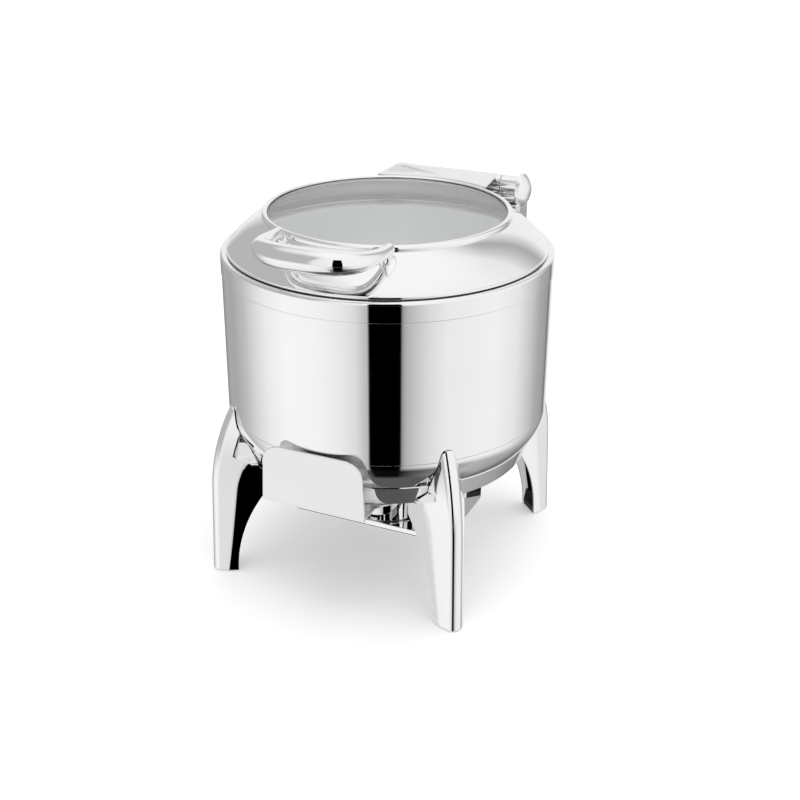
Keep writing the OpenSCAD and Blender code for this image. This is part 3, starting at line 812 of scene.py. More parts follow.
class CHAFER_OT_legs(bpy.types.Operator):
    """Build the four legs and give their feet rubber"""

    bl_idname = "chafer.legs"
    bl_label = "Legs"

    def back_edge(self, z):
        """Distance of the leg's inner edge from the middle at a height."""
        sizes = bpy.context.scene.chafer_sizes
        tank, seam = sizes.tank_radius / MM, sizes.seam_low / MM
        arch_r, arch_z, arch = LEG_ARCH
        edge = max(LEG_BACK, arch_r + math.sqrt(max(0.0, arch ** 2 - (z - arch_z) ** 2)))
        low, high = foot_of("support_ring").z, top_of("support_ring").z
        if low < z <= high:
            edge = max(edge, RING_FOOT + (RING_RIM - RING_FOOT) * (z - low) / (high - low) + RING_GAP)
        if seam - BOWL < z < seam:
            edge = max(edge, tank - BOWL + math.sqrt((BOWL + TANK_GAP) ** 2 - (seam - z) ** 2))
        if z >= seam:
            edge = max(edge, tank + TANK_GAP)
        return edge

    def nose(self, z):
        """Distance of the leg's nose from the middle and its slope angle at a height."""
        lean = math.radians(NOSE_LEAN)
        bend_r, bend_z, bend = NOSE_BEND
        cr = bend_r - bend * math.cos(lean)
        cz = bend_z - bend * math.sin(lean)
        if z > bend_z:
            phi = math.asin((z - cz) / bend)
            return cr + bend * math.cos(phi), phi
        return bend_r + (bend_z - z) * math.tan(lean), lean

    def reach(self, gap, thick, half):
        """Greatest half width of the leg at a distance below its tip."""
        length, point = TIP_ARCH
        if gap < length - thick:
            arch = bullet(half - thick + 0.01, length - thick, point - thick, 40)
            for (x0, y0), (x1, y1) in zip(arch, arch[1:]):
                if -x1 >= gap:
                    return max(0.0, y0 + (y1 - y0) * (gap + x0) / (x0 - x1) if x0 != x1 else y0)
            return 0.0
        start, run, wide = SPREAD
        spread = min(1.0, max(0.0, (gap - start) / run))
        return half - thick + (wide - half) * spread

    def ring(self, z, thick, half, top, count):
        """Points of a leg's skin at a height, from one back edge round the nose to the other.

        The outer skin has thick 0, and the inner one has the wall's thickness."""
        r_nose, phi = self.nose(z)
        edge = self.back_edge(z)
        reach = self.reach(top - thick - z, thick, half)
        wedge, side = math.radians(WEDGE), math.tan(math.radians(SIDE_SLOPE))
        side_r, side_half, growth = SIDE_AT
        ball = NOSE_BALL - thick
        turn = min(math.radians(90 - WEDGE), math.asin(min(1.0, reach / ball)))
        points = []
        for i in range(15):
            a = turn * i / 14
            points.append((r_nose + (-NOSE_BALL + ball * math.cos(a)) / math.cos(phi), ball * math.sin(a)))

        def flank(r):
            return min(reach, side_half - thick + side * (side_r - r) + growth * z)

        r0, y0 = points[-1]
        slope = math.tan(wedge) * math.cos(phi)
        corner = r0
        while corner > edge and y0 + slope * (r0 - corner) < flank(corner):
            corner -= 0.05
        corner = max(corner, edge)
        for i in range(1, 7):
            r = r0 + (corner - r0) * i / 6
            points.append((r, min(y0 + slope * (r0 - r), flank(r))))
        for i in range(1, count + 1):
            r = corner + (edge - corner) * i / count
            points.append((r, flank(r) if corner > edge + 0.01 else points[-1][1]))
        points = [(max(edge, r), y) for r, y in points]
        return [(r, -y) for r, y in points[::-1]] + points[1:]

    def execute(self, context):
        sizes = context.scene.chafer_sizes
        half, top = sizes.leg_half_width / MM, sizes.leg_top / MM
        foot = foot_of("leg_front_right").z
        ring_low, ring_high = foot_of("support_ring").z, top_of("support_ring").z
        ceiling = top - 14
        levels = [foot + 0.02 + (ring_low - 0.02 - foot) * i / 44 for i in range(45)]
        levels += [ring_low + 0.02 + (ring_high - ring_low - 0.04) * i / 10 for i in range(11)]
        levels += [ring_high + 0.02 + (ceiling - ring_high - 0.02) * i / 14 for i in range(15)]
        rest = top - ceiling
        upper = [top - rest * (1 - i / 18) ** 2 for i in range(1, 19)]
        wall, behind = 3.0, 4  # thickness, and points of a side behind the wedge
        ear_end, ear_half, ear_low, ear_high = 163.8, 23.4, 128.1, 130.9
        names = ("leg_front_right", "leg_front_left", "leg_rear_left", "leg_rear_right")
        for name, angle in zip(names, (-45, -135, 135, 45)):
            turn = Matrix.Rotation(math.radians(angle), 3, "Z")
            bm = bmesh.new()

            def add_row(points, z):
                return [bm.verts.new(turn @ Vector((r, y, z)) * MM) for r, y in points]

            outer = [add_row(self.ring(z, 0.0, half, top, behind), z) for z in levels + upper]
            inner = [add_row(self.ring(z, wall, half, top, behind), z) for z in levels]
            size = len(outer[0])
            for rows, flip in ((outer, False), (inner, True)):
                for a, b in zip(rows, rows[1:]):
                    for i in range(size - 1):
                        quad = (a[i], a[i + 1], b[i + 1], b[i])
                        bm.faces.new(quad[::-1] if flip else quad)
            for k in range(len(inner) - 1):
                for i in (0, -1):
                    bm.faces.new((outer[k][i], inner[k][i], inner[k + 1][i], outer[k + 1][i]))
            for i in range(size - 1):
                bm.faces.new((outer[0][i], outer[0][i + 1], inner[0][i + 1], inner[0][i]))
            edge = len(inner) - 1
            bm.faces.new(inner[edge][::-1])
            bm.faces.new((outer[edge][0], inner[edge][0], inner[edge][-1], outer[edge][-1],
                          outer[edge + 1][-1], outer[edge + 1][0]))
            for k in range(edge + 1, len(outer) - 1):
                bm.faces.new((outer[k][0], outer[k + 1][0], outer[k + 1][-1], outer[k][-1]))
            bmesh.ops.remove_doubles(bm, verts=bm.verts, dist=2e-6)
            bmesh.ops.recalc_face_normals(bm, faces=bm.faces)
            plate = rounded([(LEG_BACK, -ear_half, 3), (ear_end, -ear_half, 3),
                             (ear_end, ear_half, 3), (LEG_BACK, ear_half, 3)], 5)
            slab(bm, plate, ear_low, ear_high, lambda x, y, d: turn @ Vector((x, y, d)), 0.3, 2)
            leg = object_from(bm, name.replace("leg_", "polished_leg_"), 40)
            add_piece(leg, "stand", "polished_steel", name)
        dress("foot_pads", look("black_rubber"))
        return {"FINISHED"}


class CHAFER_OT_tank(bpy.types.Operator):
    """Build the tank wall, the collar, the rounded water pan and the food pan"""

    bl_idname = "chafer.tank"
    bl_label = "Tank and pans"

    def execute(self, context):
        sizes = context.scene.chafer_sizes
        r, low, high = sizes.tank_radius / MM, sizes.seam_low / MM, sizes.seam_high / MM
        skin = 1.6
        wall = rounded([(r - skin, low, 0.2), (r, low, 0.7), (r, high, 0.5), (r - skin, high, 0.2)], 4)
        add_piece(lathe("wall_skin", wall), "tank", "polished_steel", "tank_wall")
        rim, top = sizes.collar_radius / MM, sizes.collar_top / MM
        inner, mouth, rebate, step, seat = 176.4, 170.3, 172, top - 2.4, top - 4.6
        collar = rounded([
            (inner, high, 0.2), (rim, high, 0.6), (rim, top, 3.0), (mouth, top, 0.8), (mouth, step, 0.4),
            (rebate, step, 0.4), (rebate, seat, 0.4), (inner, seat, 0.2)], 9)
        add_piece(lathe("collar_ring", collar), "tank", "polished_steel", "tank_collar")
        centre, floor = r - BOWL, low - BOWL
        lip, thin, thick = 167, 1.5, 3
        shell = [(0, floor)] + arc(centre, low, BOWL, -90, 0, 40)
        shell += [(r - skin, low), (r - skin, seat), (lip, seat), (lip, seat - thin),
                  (r - skin - thin, seat - thin), (r - skin - thin, low)]
        shell += arc(centre, low, BOWL - thick, 0, -90, 40)[1:] + [(0, floor + thick)]
        add_piece(lathe("bowl_skin", shell), "tank", "polished_steel", "water_pan")
        rim_r, z0, corner, t = 160.0, foot_of("food_pan").z, 30.0, 1.5
        pan = [(0, z0)] + arc(rim_r - corner, z0 + corner, corner, -90, 0, 20)
        halfway, lip = 300, 169.5
        pan += rounded([(rim_r, halfway), (rim_r, seat, 0.7), (lip, seat, 0.6), (lip, seat + t, 0.6),
                        (rim_r - t, seat + t, 2.2), (rim_r - t, halfway)], 6)
        pan += arc(rim_r - corner, z0 + corner, corner - t, 0, -90, 20) + [(0, z0 + t)]
        add_piece(lathe("food_pan_skin", pan), "tank", "pan_steel", "food_pan")
        return {"FINISHED"}


class CHAFER_OT_lid(bpy.types.Operator):
    """Build the lid's slope, its seal, the window ring, its gasket and the glass"""

    bl_idname = "chafer.lid"
    bl_label = "Lid and window"

    def execute(self, context):
        sizes = context.scene.chafer_sizes
        centre, radius, b = dome_numbers()
        flange, foot = sizes.lid_radius / MM, sizes.lid_foot / MM
        skin = 1.6
        inner_r = sizes.bezel_radius / MM - 2.2

        def slope(rad, r_from, r_to, steps):
            out = []
            for i in range(steps + 1):
                x = r_from + (r_to - r_from) * i / steps
                out.append((x, centre.y + math.sqrt(rad * rad - (x - centre.x) ** 2)))
            return out

        hem_in, hem_out, shoulder, drop, curl = 169.2, 170.6, foot + 3.1, b.y - 3.2, inner_r + 1.5
        top_slope = slope(radius, hem_out, inner_r, 30)
        under = slope(radius - skin, inner_r, 169.4, 30)
        lip = foot + 0.75
        rim = rounded([(hem_in, foot, 0.2), (hem_out, foot, 0.2), (hem_out, lip, 0.2), (flange, lip, 0.3),
                       (flange, shoulder, 0.6), (top_slope[0][0] + 0.25, shoulder, 0.25),
                       top_slope[3]], 6)
        outline = rim[:-1] + top_slope[1:] + [(inner_r, drop), (curl, drop)]
        outline += [p for p in under if p[0] > curl] + [(hem_in, foot + 2.4)]
        add_piece(lathe("lid_slope", outline), "lid", "polished_steel", "lid_dome")
        seal = rounded([(166, foot - 0.05, 0.3), (171.7, foot - 0.05, 0.25), (171.7, lip - 0.02, 0.2),
                        (170.62, lip - 0.02), (170.62, foot + 0.02), (169.18, foot + 0.02),
                        (169.18, foot + 2.6), (166, foot + 2.6, 0.8)], 5)
        add_piece(lathe("lid_seal", seal), "lid", "silicone", "rim_seal")
        top = sizes.bezel_top / MM
        bead, opening = 3.3, 129.2
        mid = sizes.bezel_radius / MM - bead
        inner = -math.degrees(math.asin((bead - 1.4) / bead)) + 180
        ring = [(mid + bead, b.y)] + arc(mid, top - bead, bead, 0, inner, 30)
        ring += [(opening, top - 1.4), (opening, b.y)]
        add_piece(lathe("window_ring", ring), "lid", "polished_steel", "window_bezel")
        g0, g1 = foot_of("window_glass").z, top_of("window_glass").z
        edge, outside, groove = 126.8, 129.15, 128.05
        gasket = [(edge, g0 - 0.2), (outside, g0 - 0.2), (outside, g1 + 0.65), (edge, g1 + 0.65),
                  (edge, g1 + 0.02), (groove, g1 + 0.02), (groove, g0 - 0.02), (edge, g0 - 0.02)]
        add_piece(lathe("window_seal", gasket), "lid", "silicone", "window_gasket")
        pane = rounded([(0, g0), (128, g0, 0.5), (128, g1, 0.5), (0, g1)], 4)
        add_piece(lathe("window_pane", pane), "lid", "clear_glass", "window_glass")
        return {"FINISHED"}


class CHAFER_OT_handle(bpy.types.Operator):
    """Build the bowed handle and its two feet"""

    bl_idname = "chafer.handle"
    bl_label = "Handle"

    def bow(self, t):
        """A point on the handle's middle line at an angle in degrees, 0 to 180."""
        a = math.radians(t)
        power = 2 / 3.2
        c, s = math.cos(a), max(0.0, math.sin(a))
        x = -61 * math.copysign(abs(c) ** power, c)
        return Vector((x, -126 - 65 * s ** power, 402.5))

    def execute(self, context):
        radius = context.scene.chafer_sizes.grip_radius / MM
        end = 5.3
        count, around = 140, 48
        line = []
        for i in range(count + 1):
            u = i / count
            line.append(180 * (u - math.sin(2 * math.pi * u) * 0.09))
        rings = []
        for i, t in enumerate(line):
            p = self.bow(t)
            q, s = self.bow(max(0.0, t - 0.8)), self.bow(min(180.0, t + 0.8))
            along = (s - q).normalized()
            side = along.cross(Vector((0, 0, 1))).normalized()
            thick = end + (radius - end) * math.sin(math.radians(t))
            rings.append([(p + side * thick * math.cos(2 * math.pi * j / around)
                           + Vector((0, 0, 1)) * thick * math.sin(2 * math.pi * j / around)) * MM
                          for j in range(around)])
        add_piece(loft("grip_bow", rings), "lid", "polished_steel", "handle_bow")
        self.feet()
        return {"FINISHED"}

    def feet(self):
        bm = bmesh.new()
        for s in (-1, 1):
            angle = -90 + s * HANDLE_TURN
            base, up = on_dome(angle, HANDLE_FOOT)
            a = math.radians(angle)
            round_way = Vector((-math.sin(a), math.cos(a), 0))
            down_way = up.cross(round_way)
            half_l, half_w, crown = 16.0, 8.5, 2.5
            rho = (half_l ** 2 + half_w ** 2) / (2 * half_w)
            edge = []
            for k in range(48):
                u = 2 * math.pi * k / 48
                x = half_l * math.cos(u)
                y = math.sqrt(max(0.0, rho * rho - x * x)) - (rho - half_w)
                edge.append((x, math.copysign(y, math.sin(u))))
            rows = []
            for share, lift in ((1.0, -1.6), (1.0, 0.6), (0.97, 1.3), (0.9, 1.9), (0.75, 2.3), (0.5, 2.45),
                                (0.25, crown)):
                row = []
                for x, y in edge:
                    flat = base + down_way * (x * share) + round_way * (y * share)
                    r = math.hypot(flat.x, flat.y)
                    ground = Vector((flat.x, flat.y, dome_height(min(170.0, r))))
                    row.append(bm.verts.new((ground + up * lift) * MM))
                rows.append(row)
            made = skin_over(bm, rows)
            post, out = on_dome(angle, 141)
            rows = []
            for lift, width in ((-1.0, 6.4), (1.6, 6.2), (2.4, 5.4), (3.4, 4.7), (5.0, 4.4), (7.4, 4.4)):
                row = []
                for k in range(32):
                    u = 2 * math.pi * k / 32
                    row.append(bm.verts.new(
                        (post + out * lift + round_way * (width * math.cos(u)) + out.cross(round_way)
                         * (width * math.sin(u))) * MM))
                rows.append(row)
            made += skin_over(bm, rows)
            bmesh.ops.recalc_face_normals(bm, faces=made)
        add_piece(object_from(bm, "grip_feet", 50), "lid", "polished_steel", "handle_feet")


class CHAFER_OT_hinge(bpy.types.Operator):
    """Build the hinge: barrel, tubes, cheek, pin, bracket and cover plate"""

    bl_idname = "chafer.hinge"
    bl_label = "Hinge"

    def execute(self, context):
        y, z = 172.0, 394.0
        bar, pin = 9.8, 4.0
        start, length = 66.6, 21.4
        tube = rounded([(pin, 0), (bar, 0, 0.6), (bar, length, 0.3), (pin, length)], 4)
        add_piece(lathe("fixed_tube", tube, 96, along_x(start, y, z)), "tank", "polished_steel", "hinge_tube")
        cheek, rise, flat = 19.2, 8.0, 5.0
        ball = (cheek * cheek + rise * rise) / (2 * rise)
        limit = math.degrees(math.asin(cheek / ball))
        profile = [(0, 0.05), (cheek - 0.6, 0.05), (cheek, 0.65)]
        profile += arc(0, flat + rise - ball, ball, 90 - limit, 90, 24)[:-1] + [(0, flat + rise)]
        add_piece(lathe("round_cheek", profile, 128, along_x(88, y, z - 5.5)), "tank", "polished_steel",
                  "hinge_cheek")
        thin, below = 4.5, 15.6
        rod = rounded([(0, 0), (thin, 0, 0.4), (thin, length, 0.4), (0, length)], 4)
        add_piece(lathe("tie_rod", rod, 64, along_x(start, y, z - below)), "tank", "polished_steel",
                  "hinge_rod")
        bolt = rounded([(0, 0), (6, 0, 1.2), (6, 4, 0.3), (pin, 4), (pin, 154), (0, 154)], 5)
        add_piece(lathe("pivot_pin", bolt, 64, along_x(-66, y, z)), "tank", "polished_steel", "hinge_pin")
        dress("hinge_base", look("polished_steel"))
        self.arm(y, z, bar, pin)
        self.cover()
        return {"FINISHED"}

    def arm(self, y, z, bar, pin):
        bore = pin + 0.06
        knuckle = rounded([(bore, 0), (bar, 0, 0.6), (bar, 122.8, 0.4), (bore, 122.8)], 4)
        barrel = lathe("arm_barrel", knuckle, 96, along_x(-56.6, y, z))
        bm = bmesh.new()
        deck = 400.9
        for x in (-44, 40):
            web = rounded([(134.6, deck), (y, deck), (y, z - 6), (y - 9, z - 6, 3), (158, 376, 2),
                           (136, 393, 2)], 5)
            slab(bm, web, x, x + 6, side_space, 0.5, 2)
        rows = []
        for lift in (0.05, 2.2):
            grid = []
            for i in range(13):
                r = 140 + 22.6 * i / 12
                half = math.degrees(math.asin(54 / r))
                wide = math.degrees(math.asin(56 / r))
                line = []
                for j in range(33):
                    angle = 90 + half - (half + wide) * j / 32
                    point, out = on_dome(angle, r)
                    line.append(bm.verts.new((point + out * lift) * MM))
                grid.append(line)
            rows.append(grid)
        made = []
        for grid in rows:
            for i in range(12):
                for j in range(32):
                    made.append(bm.faces.new((
                        grid[i][j], grid[i][j + 1], grid[i + 1][j + 1], grid[i + 1][j])))
        rim_low, rim_high = [
            grid[0] + [g[-1] for g in grid[1:]] + grid[-1][-2::-1] + [g[0] for g in grid[-2:0:-1]]
            for grid in rows]
        for i in range(len(rim_low)):
            k = (i + 1) % len(rim_low)
            made.append(bm.faces.new((rim_low[i], rim_low[k], rim_high[k], rim_high[i])))
        bmesh.ops.recalc_face_normals(bm, faces=made)
        bracket = object_from(bm, "arm_bracket")
        add_piece(barrel, "lid", "polished_steel", "lid_arm")
        add_piece(bracket, "lid", "polished_steel")

    def cover(self):
        low, high = foot_of("hinge_cover"), top_of("hinge_cover")
        ring = 133.8
        front = []
        for i in range(49):
            x = low.x + (high.x - low.x) * i / 48
            front.append((x, max(low.y + 0.02, math.sqrt(ring * ring - x * x))))
        outline = front + rounded([(high.x, high.y, 1.5), (low.x, high.y, 2.5), (low.x, low.y)], 6)[:-1]
        bm = bmesh.new()
        slab(bm, outline, low.z, high.z, flat_space, 0.45, 3)
        plate = object_from(bm, "cover_plate")
        slot = rounded([(-64, 160, 1.2), (-52, 160, 1.2), (-52, 164, 1.2), (-64, 164, 1.2)], 5)
        bm = bmesh.new()
        slab(bm, slot, high.z - 1, high.z + 1, flat_space, 0.0, 0)
        knife = object_from(bm, "slot_knife")
        cut = plate.modifiers.new("slot", "BOOLEAN")
        cut.object = knife
        cut.solver = "EXACT"
        settle(plate)
        bpy.data.objects.remove(knife)
        add_piece(plate, "lid", "satin_steel", "hinge_cover")


class CHAFER_OT_fuel(bpy.types.Operator):
    """Build the fuel holder, the can, and the damper with its pin and knob"""

    bl_idname = "chafer.fuel"
    bl_label = "Fuel holder"

    def execute(self, context):
        low, high = foot_of("fuel_holder"), top_of("fuel_holder")
        r = high.x
        mouth, wall = 29, 1.5
        cup = rounded([(0, low.z), (r, low.z, 2.5), (r, high.z, 2.0), (mouth, high.z, 0.6),
                       (mouth, high.z - wall, 0.4), (r - wall, high.z - wall, 0.6),
                       (r - wall, low.z + wall, 1.2), (0, low.z + wall)], 6)
        add_piece(lathe("holder_cup", cup, 160), "holder", "polished_steel", "fuel_holder")
        c0, c1 = foot_of("fuel_can").z, top_of("fuel_can").z
        can = rounded([(0, c0), (42, c0, 2), (42, c0 + 3, 0.8), (41.4, c0 + 4, 0.6), (41.4, c1 - 4, 0.6),
                       (42, c1 - 3, 0.8), (42, c1, 1.4), (22, c1, 0.8), (22, c0 + 20, 1), (0, c0 + 20)], 4)
        add_piece(lathe("gel_can", can, 160), "holder", "fuel_tin", "fuel_can")
        pin_low, pin_high = foot_of("damper_pin"), top_of("damper_pin")
        x = (pin_low.x + pin_high.x) / 2
        stem = rounded([(0, pin_low.z), (2.5, pin_low.z), (2.5, pin_low.z + 2.8), (5, pin_low.z + 2.8, 0.5),
                        (4.2, pin_high.z - 0.5, 1.2), (0, pin_high.z)], 5)
        place = Matrix.Translation((x * MM, 0, 0))
        add_piece(lathe("damper_rivet", stem, 64, place), "holder", "polished_steel", "damper_pin")
        bm = bmesh.new()
        z0, z1 = foot_of("damper_lid").z, top_of("damper_lid").z
        disc = [(34 * math.cos(2 * math.pi * i / 96), 34 * math.sin(2 * math.pi * i / 96)) for i in range(96)]
        slab(bm, disc, z0, z1, flat_space, 0.5, 2)
        lever = rounded([(24, -6, 1), (60, -6, 5.5), (60, 6, 5.5), (24, 6, 1)], 8)
        slab(bm, lever, z0 + 0.02, z1 - 0.02, flat_space, 0.4, 2)
        eye = rounded([(-26, -7, 1), (-45, -7, 6.5), (-45, 7, 6.5), (-26, 7, 1)], 8)
        slab(bm, eye, z0 + 0.02, z1 - 0.02, flat_space, 0.4, 2)
        add_piece(object_from(bm, "damper_plate"), "damper", "polished_steel", "damper_lid")
        k0, k1 = foot_of("damper_knob"), top_of("damper_knob")
        knob = rounded([(0, k0.z), (3.4, k0.z, 0.6), (3.2, k0.z + 3, 1), (4.5, k0.z + 5, 1), (4.5, k1.z, 1.6),
                        (0, k1.z)], 6)
        place = Matrix.Translation(((k0.x + k1.x) / 2 * MM, 0, 0))
        add_piece(lathe("damper_grip", knob, 64, place), "damper", "black_rubber", "damper_knob")
        return {"FINISHED"}


class CHAFER_OT_fasteners(bpy.types.Operator):
    """Put in every nut and screw from one node tree for each kind"""

    bl_idname = "chafer.fasteners"
    bl_label = "Nuts and screws"

    def execute(self, context):
        nut = fastener_tree("dome_nuts", 0.0, True)
        screw = fastener_tree("socket_screws", 0.45, False)
        spots = []
        bolt_r, bolt_side = 151, 17
        ear = foot_of("leg_bolts").z + 4.5
        for angle in (-45, -135, 135, 45):
            turn = Matrix.Rotation(math.radians(angle), 3, "Z")
            for s in (-1, 1):
                spots.append((turn @ Vector((bolt_r, s * bolt_side, ear)), (0, 0, -1)))
        fasteners("ring_nuts", nut, spots, 4.9, 4.4, "stand", "leg_bolts")
        under = top_of("shelf_screws").z
        spots = [((s * 148, y, under), (0, 0, -1)) for s in (-1, 1) for y in (-14, 14)]
        fasteners("tray_screws", screw, spots, 4.0, 2.4, "stand", "shelf_screws")
        spots = []
        plate_r = 183
        for angle in (100, 80, 65):
            a = math.radians(angle)
            for z in (311, 329):
                spots.append(((plate_r * math.cos(a), plate_r * math.sin(a), z),
                              (math.cos(a), math.sin(a), 0)))
        fasteners("plate_screws", screw, spots, 4.5, 2.6, "tank", "base_screws")
        spots = [on_dome(90 + a, 152, 2.2) for a in (-12, -4, 4, 12)]
        fasteners("bracket_screws", screw, spots, 3.6, 2.2, "lid", "arm_screws")
        spots = []
        for s in (-1, 1):
            point, out = on_dome(-90 + s * HANDLE_TURN, HANDLE_FOOT, -1.8)
            spots.append((point, -out))
        fasteners("grip_screws", screw, spots, 5.0, 3.0, "lid", "handle_screws")
        return {"FINISHED"}


# Brightness of the studio by azimuth, in degrees from -Y toward +X, for three bands of height.
SIDE_BAND = (
    (-180, 0.80), (-169, 0.98), (-163, 0.56), (-145, 0.76), (-139, 0.52), (-125, 0.65),
    (-109, 0.65), (-92, 0.74), (-84, 0.81), (-67, 0.92), (-50, 0.966), (-25, 0.957), (-7, 0.914),
    (3, 0.862), (9.7, 0.745), (11.4, 0.73), (11.7, 0.0), (34.6, 0.0), (34.9, 0.58), (38, 0.70), (44, 0.77),
    (53, 0.855), (66, 0.92), (104, 0.945), (125, 0.90), (142, 0.78), (154, 0.665), (170, 0.60), (176, 0.42),
)
UPPER_BAND = (
    (-180, 0.93), (-138, 0.93), (-128, 0.71), (-100, 0.71), (-60, 0.71), (-24, 0.72), (-19, 0.90), (0, 0.94),
    (60, 0.95), (110, 0.95), (140, 0.91), (150, 0.78), (160, 0.66), (172, 0.93),
)
# Where the tall black card stands beside the camera, by azimuth, and the height it reaches
CARD_BAND = ((-180, 0.0), (11.4, 0.0), (11.7, 1.0), (34.6, 1.0), (34.9, 0.0))
CARD_TOP = 49
# Heights in degrees above the horizon over which one look of the studio gives way to the next
SIDE_TO_LOWER = (-32, -45)
SIDE_TO_UPPER = (-20, -4)
UPPER_TO_WHITE = (45, 75)
CARD_FOOT = (-20, -12)
LOWER_TO_FLOOR = (-58, -70)
FLOOR_SHADE = 0.10
# Share of the light that polished steel gives back, by which the bands are raised
STEEL_SHARE = 0.93
LOWER_BAND = (
    (-180, 0.45), (-150, 0.40), (-118, 0.40), (-100, 0.70), (-80, 0.92), (-40, 0.94), (-5, 0.90), (5, 0.45),
    (13.5, 0.05), (34, 0.04), (46, 0.30), (70, 0.50), (100, 0.70), (125, 0.66), (150, 0.61), (170, 0.42),
)


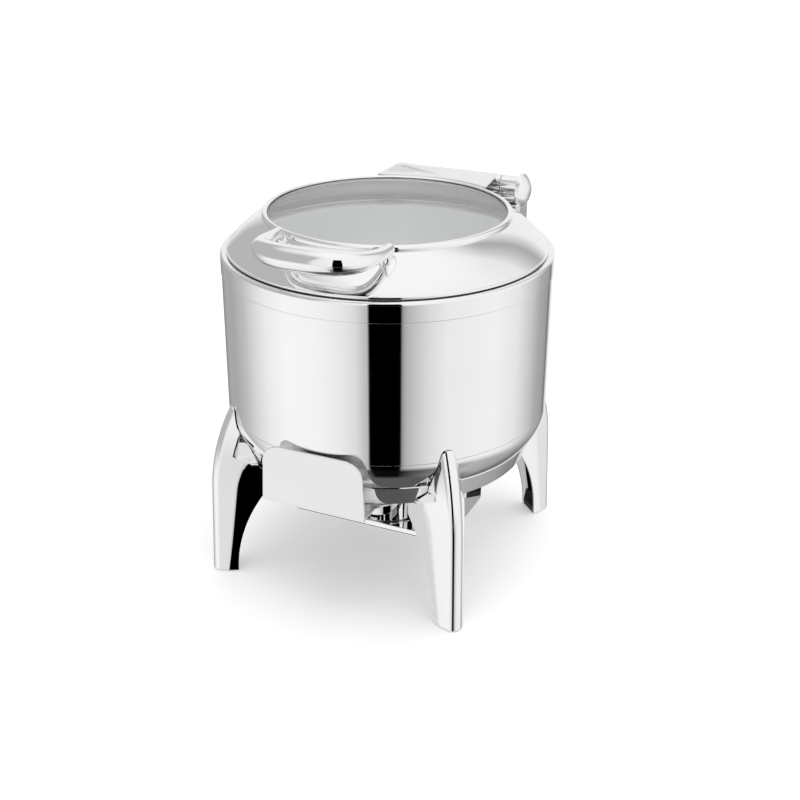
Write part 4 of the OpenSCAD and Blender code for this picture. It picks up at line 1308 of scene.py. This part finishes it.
class CHAFER_OT_stage(bpy.types.Operator):
    """Set up the floor, the soft studio light and the camera"""

    bl_idname = "chafer.stage"
    bl_label = "Stage"

    def execute(self, context):
        studio = context.scene.chafer_studio
        self.floor(studio)
        self.world(studio)
        self.lamp(studio)
        self.camera(context, studio)
        context.scene.view_settings.view_transform = "Standard"
        return {"FINISHED"}

    def floor(self, studio):
        material, g, shader = start_material("pale_floor")
        cloud = stretched_noise(g, (1, 1, 1), 3.0)
        g.feed(shader.inputs["Base Color"], tinted(g, studio.floor, 0.01, cloud))
        shader.inputs["Roughness"].default_value = 0.9
        shader.inputs["Specular IOR Level"].default_value = 0.0
        shader.inputs["Emission Color"].default_value = (1, 1, 1, 1)
        shader.inputs["Emission Strength"].default_value = studio.floor_fill
        bm = bmesh.new()
        bmesh.ops.create_circle(bm, cap_ends=True, radius=8.0, segments=96)
        mesh = bpy.data.meshes.new("studio_floor")
        bm.to_mesh(mesh)
        bm.free()
        mesh.materials.append(material)
        ground = new_object("studio_floor", mesh)
        ground.visible_glossy = False

    def world(self, studio):
        world = bpy.data.worlds.new("soft_studio")
        bpy.context.scene.world = world
        world.use_nodes = True
        world.node_tree.nodes.clear()
        g = Graph(world.node_tree)
        way = g.add("ShaderNodeTexCoord").outputs["Generated"]
        parts = g.add("ShaderNodeSeparateXYZ", {0: way})
        x, y, z = parts.outputs
        turn = g.math("ARCTAN2", x, g.math("MULTIPLY", y, -1.0))
        around = g.math("MULTIPLY_ADD", turn, 1 / (2 * math.pi), 0.5)

        def band(stops):
            shown = [((a + 180) / 360, linear(v) / STEEL_SHARE) for a, v in stops]
            return g.ramp(around, shown + [(1.0, shown[0][1])])

        def between(low, high):
            return g.add("ShaderNodeMapRange", {"Value": z, "From Min": math.sin(math.radians(low)),
                                                "From Max": math.sin(math.radians(high))},
                         interpolation_type="SMOOTHSTEP").outputs[0]

        def blend(factor, a, b):
            return g.add("ShaderNodeMix", {0: factor, 6: a, 7: b}, data_type="RGBA").outputs[2]

        shade = blend(between(*SIDE_TO_LOWER), band(SIDE_BAND), band(LOWER_BAND))
        shade = blend(between(*SIDE_TO_UPPER), shade, band(UPPER_BAND))
        shade = blend(between(*UPPER_TO_WHITE), shade, (1.0, 1.0, 1.0, 1))
        card = g.math("MULTIPLY", band(CARD_BAND),
                      g.math("MULTIPLY", between(*CARD_FOOT), between(CARD_TOP + 1, CARD_TOP)))
        shade = blend(card, shade, (0.0, 0.0, 0.0, 1))
        shade = blend(between(*LOWER_TO_FLOOR), shade, (FLOOR_SHADE, FLOOR_SHADE, FLOOR_SHADE, 1))
        sky = g.add("ShaderNodeBackground", {"Color": shade, "Strength": 1.0})
        plain = g.add("ShaderNodeBackground", {"Color": (1, 1, 1, 1), "Strength": 1.0})
        path = g.add("ShaderNodeLightPath")
        mix = g.add("ShaderNodeMixShader", {
            0: path.outputs["Is Camera Ray"], 1: sky.outputs[0], 2: plain.outputs[0]})
        g.add("ShaderNodeOutputWorld", {0: mix.outputs[0]})

    def lamp(self, studio):
        light = bpy.data.lights.new("overhead", "AREA")
        light.shape = "DISK"
        light.size = 3.0
        light.energy = studio.overhead
        lamp = bpy.data.objects.new("overhead", light)
        lamp.location = (0.0, 0.0, 3.0)
        lamp.visible_glossy = False
        bpy.context.scene.collection.objects.link(lamp)

    def camera(self, context, studio):
        data = bpy.data.cameras.new("camera")
        data.lens = studio.lens
        data.sensor_width = 36.0
        data.shift_x = 0.0158
        data.clip_start = 0.05
        data.clip_end = 60.0
        eye = bpy.data.objects.new("camera", data)
        eye.location = studio.eye
        way = Vector(studio.aim) - Vector(studio.eye)
        eye.rotation_euler = way.to_track_quat("-Z", "Y").to_euler()
        context.scene.collection.objects.link(eye)
        context.scene.camera = eye


def linear(shown):
    """Light for a shade of grey as a screen shows it."""
    return shown / 12.92 if shown <= 0.04045 else ((shown + 0.055) / 1.055) ** 2.4


class CHAFER_PT_panel(bpy.types.Panel):
    """The pieces of the chafer, one button each"""

    bl_label = "Round soup chafer"
    bl_idname = "CHAFER_PT_panel"
    bl_space_type = "VIEW_3D"
    bl_region_type = "UI"
    bl_category = "Chafer"

    def draw(self, context):
        for kind in OPERATORS:
            self.layout.operator(kind.bl_idname)
        for group in ("chafer_sizes", "chafer_finish", "chafer_studio"):
            box = self.layout.box()
            values = getattr(context.scene, group)
            for key in values.bl_rna.properties.keys():
                if key not in ("rna_type", "name"):
                    box.prop(values, key)


OPERATORS = (
    CHAFER_OT_stage,
    CHAFER_OT_stand,
    CHAFER_OT_legs,
    CHAFER_OT_tank,
    CHAFER_OT_lid,
    CHAFER_OT_handle,
    CHAFER_OT_hinge,
    CHAFER_OT_fuel,
    CHAFER_OT_fasteners,
)
GROUPS = (
    ("chafer_sizes", ChaferSizes),
    ("chafer_finish", ChaferFinish),
    ("chafer_studio", ChaferStudio),
)


def register():
    """Adds the classes and the scene's settings."""
    for name, group in GROUPS:
        bpy.utils.register_class(group)
        setattr(bpy.types.Scene, name, bpy.props.PointerProperty(type=group))
    for kind in (*OPERATORS, CHAFER_PT_panel):
        bpy.utils.register_class(kind)


def unregister():
    """Takes the classes and the scene's settings away again."""
    for kind in reversed((*OPERATORS, CHAFER_PT_panel)):
        bpy.utils.unregister_class(kind)
    for name, group in reversed(GROUPS):
        delattr(bpy.types.Scene, name)
        bpy.utils.unregister_class(group)


def main():
    """Builds everything in order."""
    register()
    for kind in OPERATORS:
        group, name = kind.bl_idname.split(".")
        if getattr(getattr(bpy.ops, group), name)() != {"FINISHED"}:
            raise RuntimeError(kind.bl_label + " was not built")


if __name__ == "__main__":
    main()
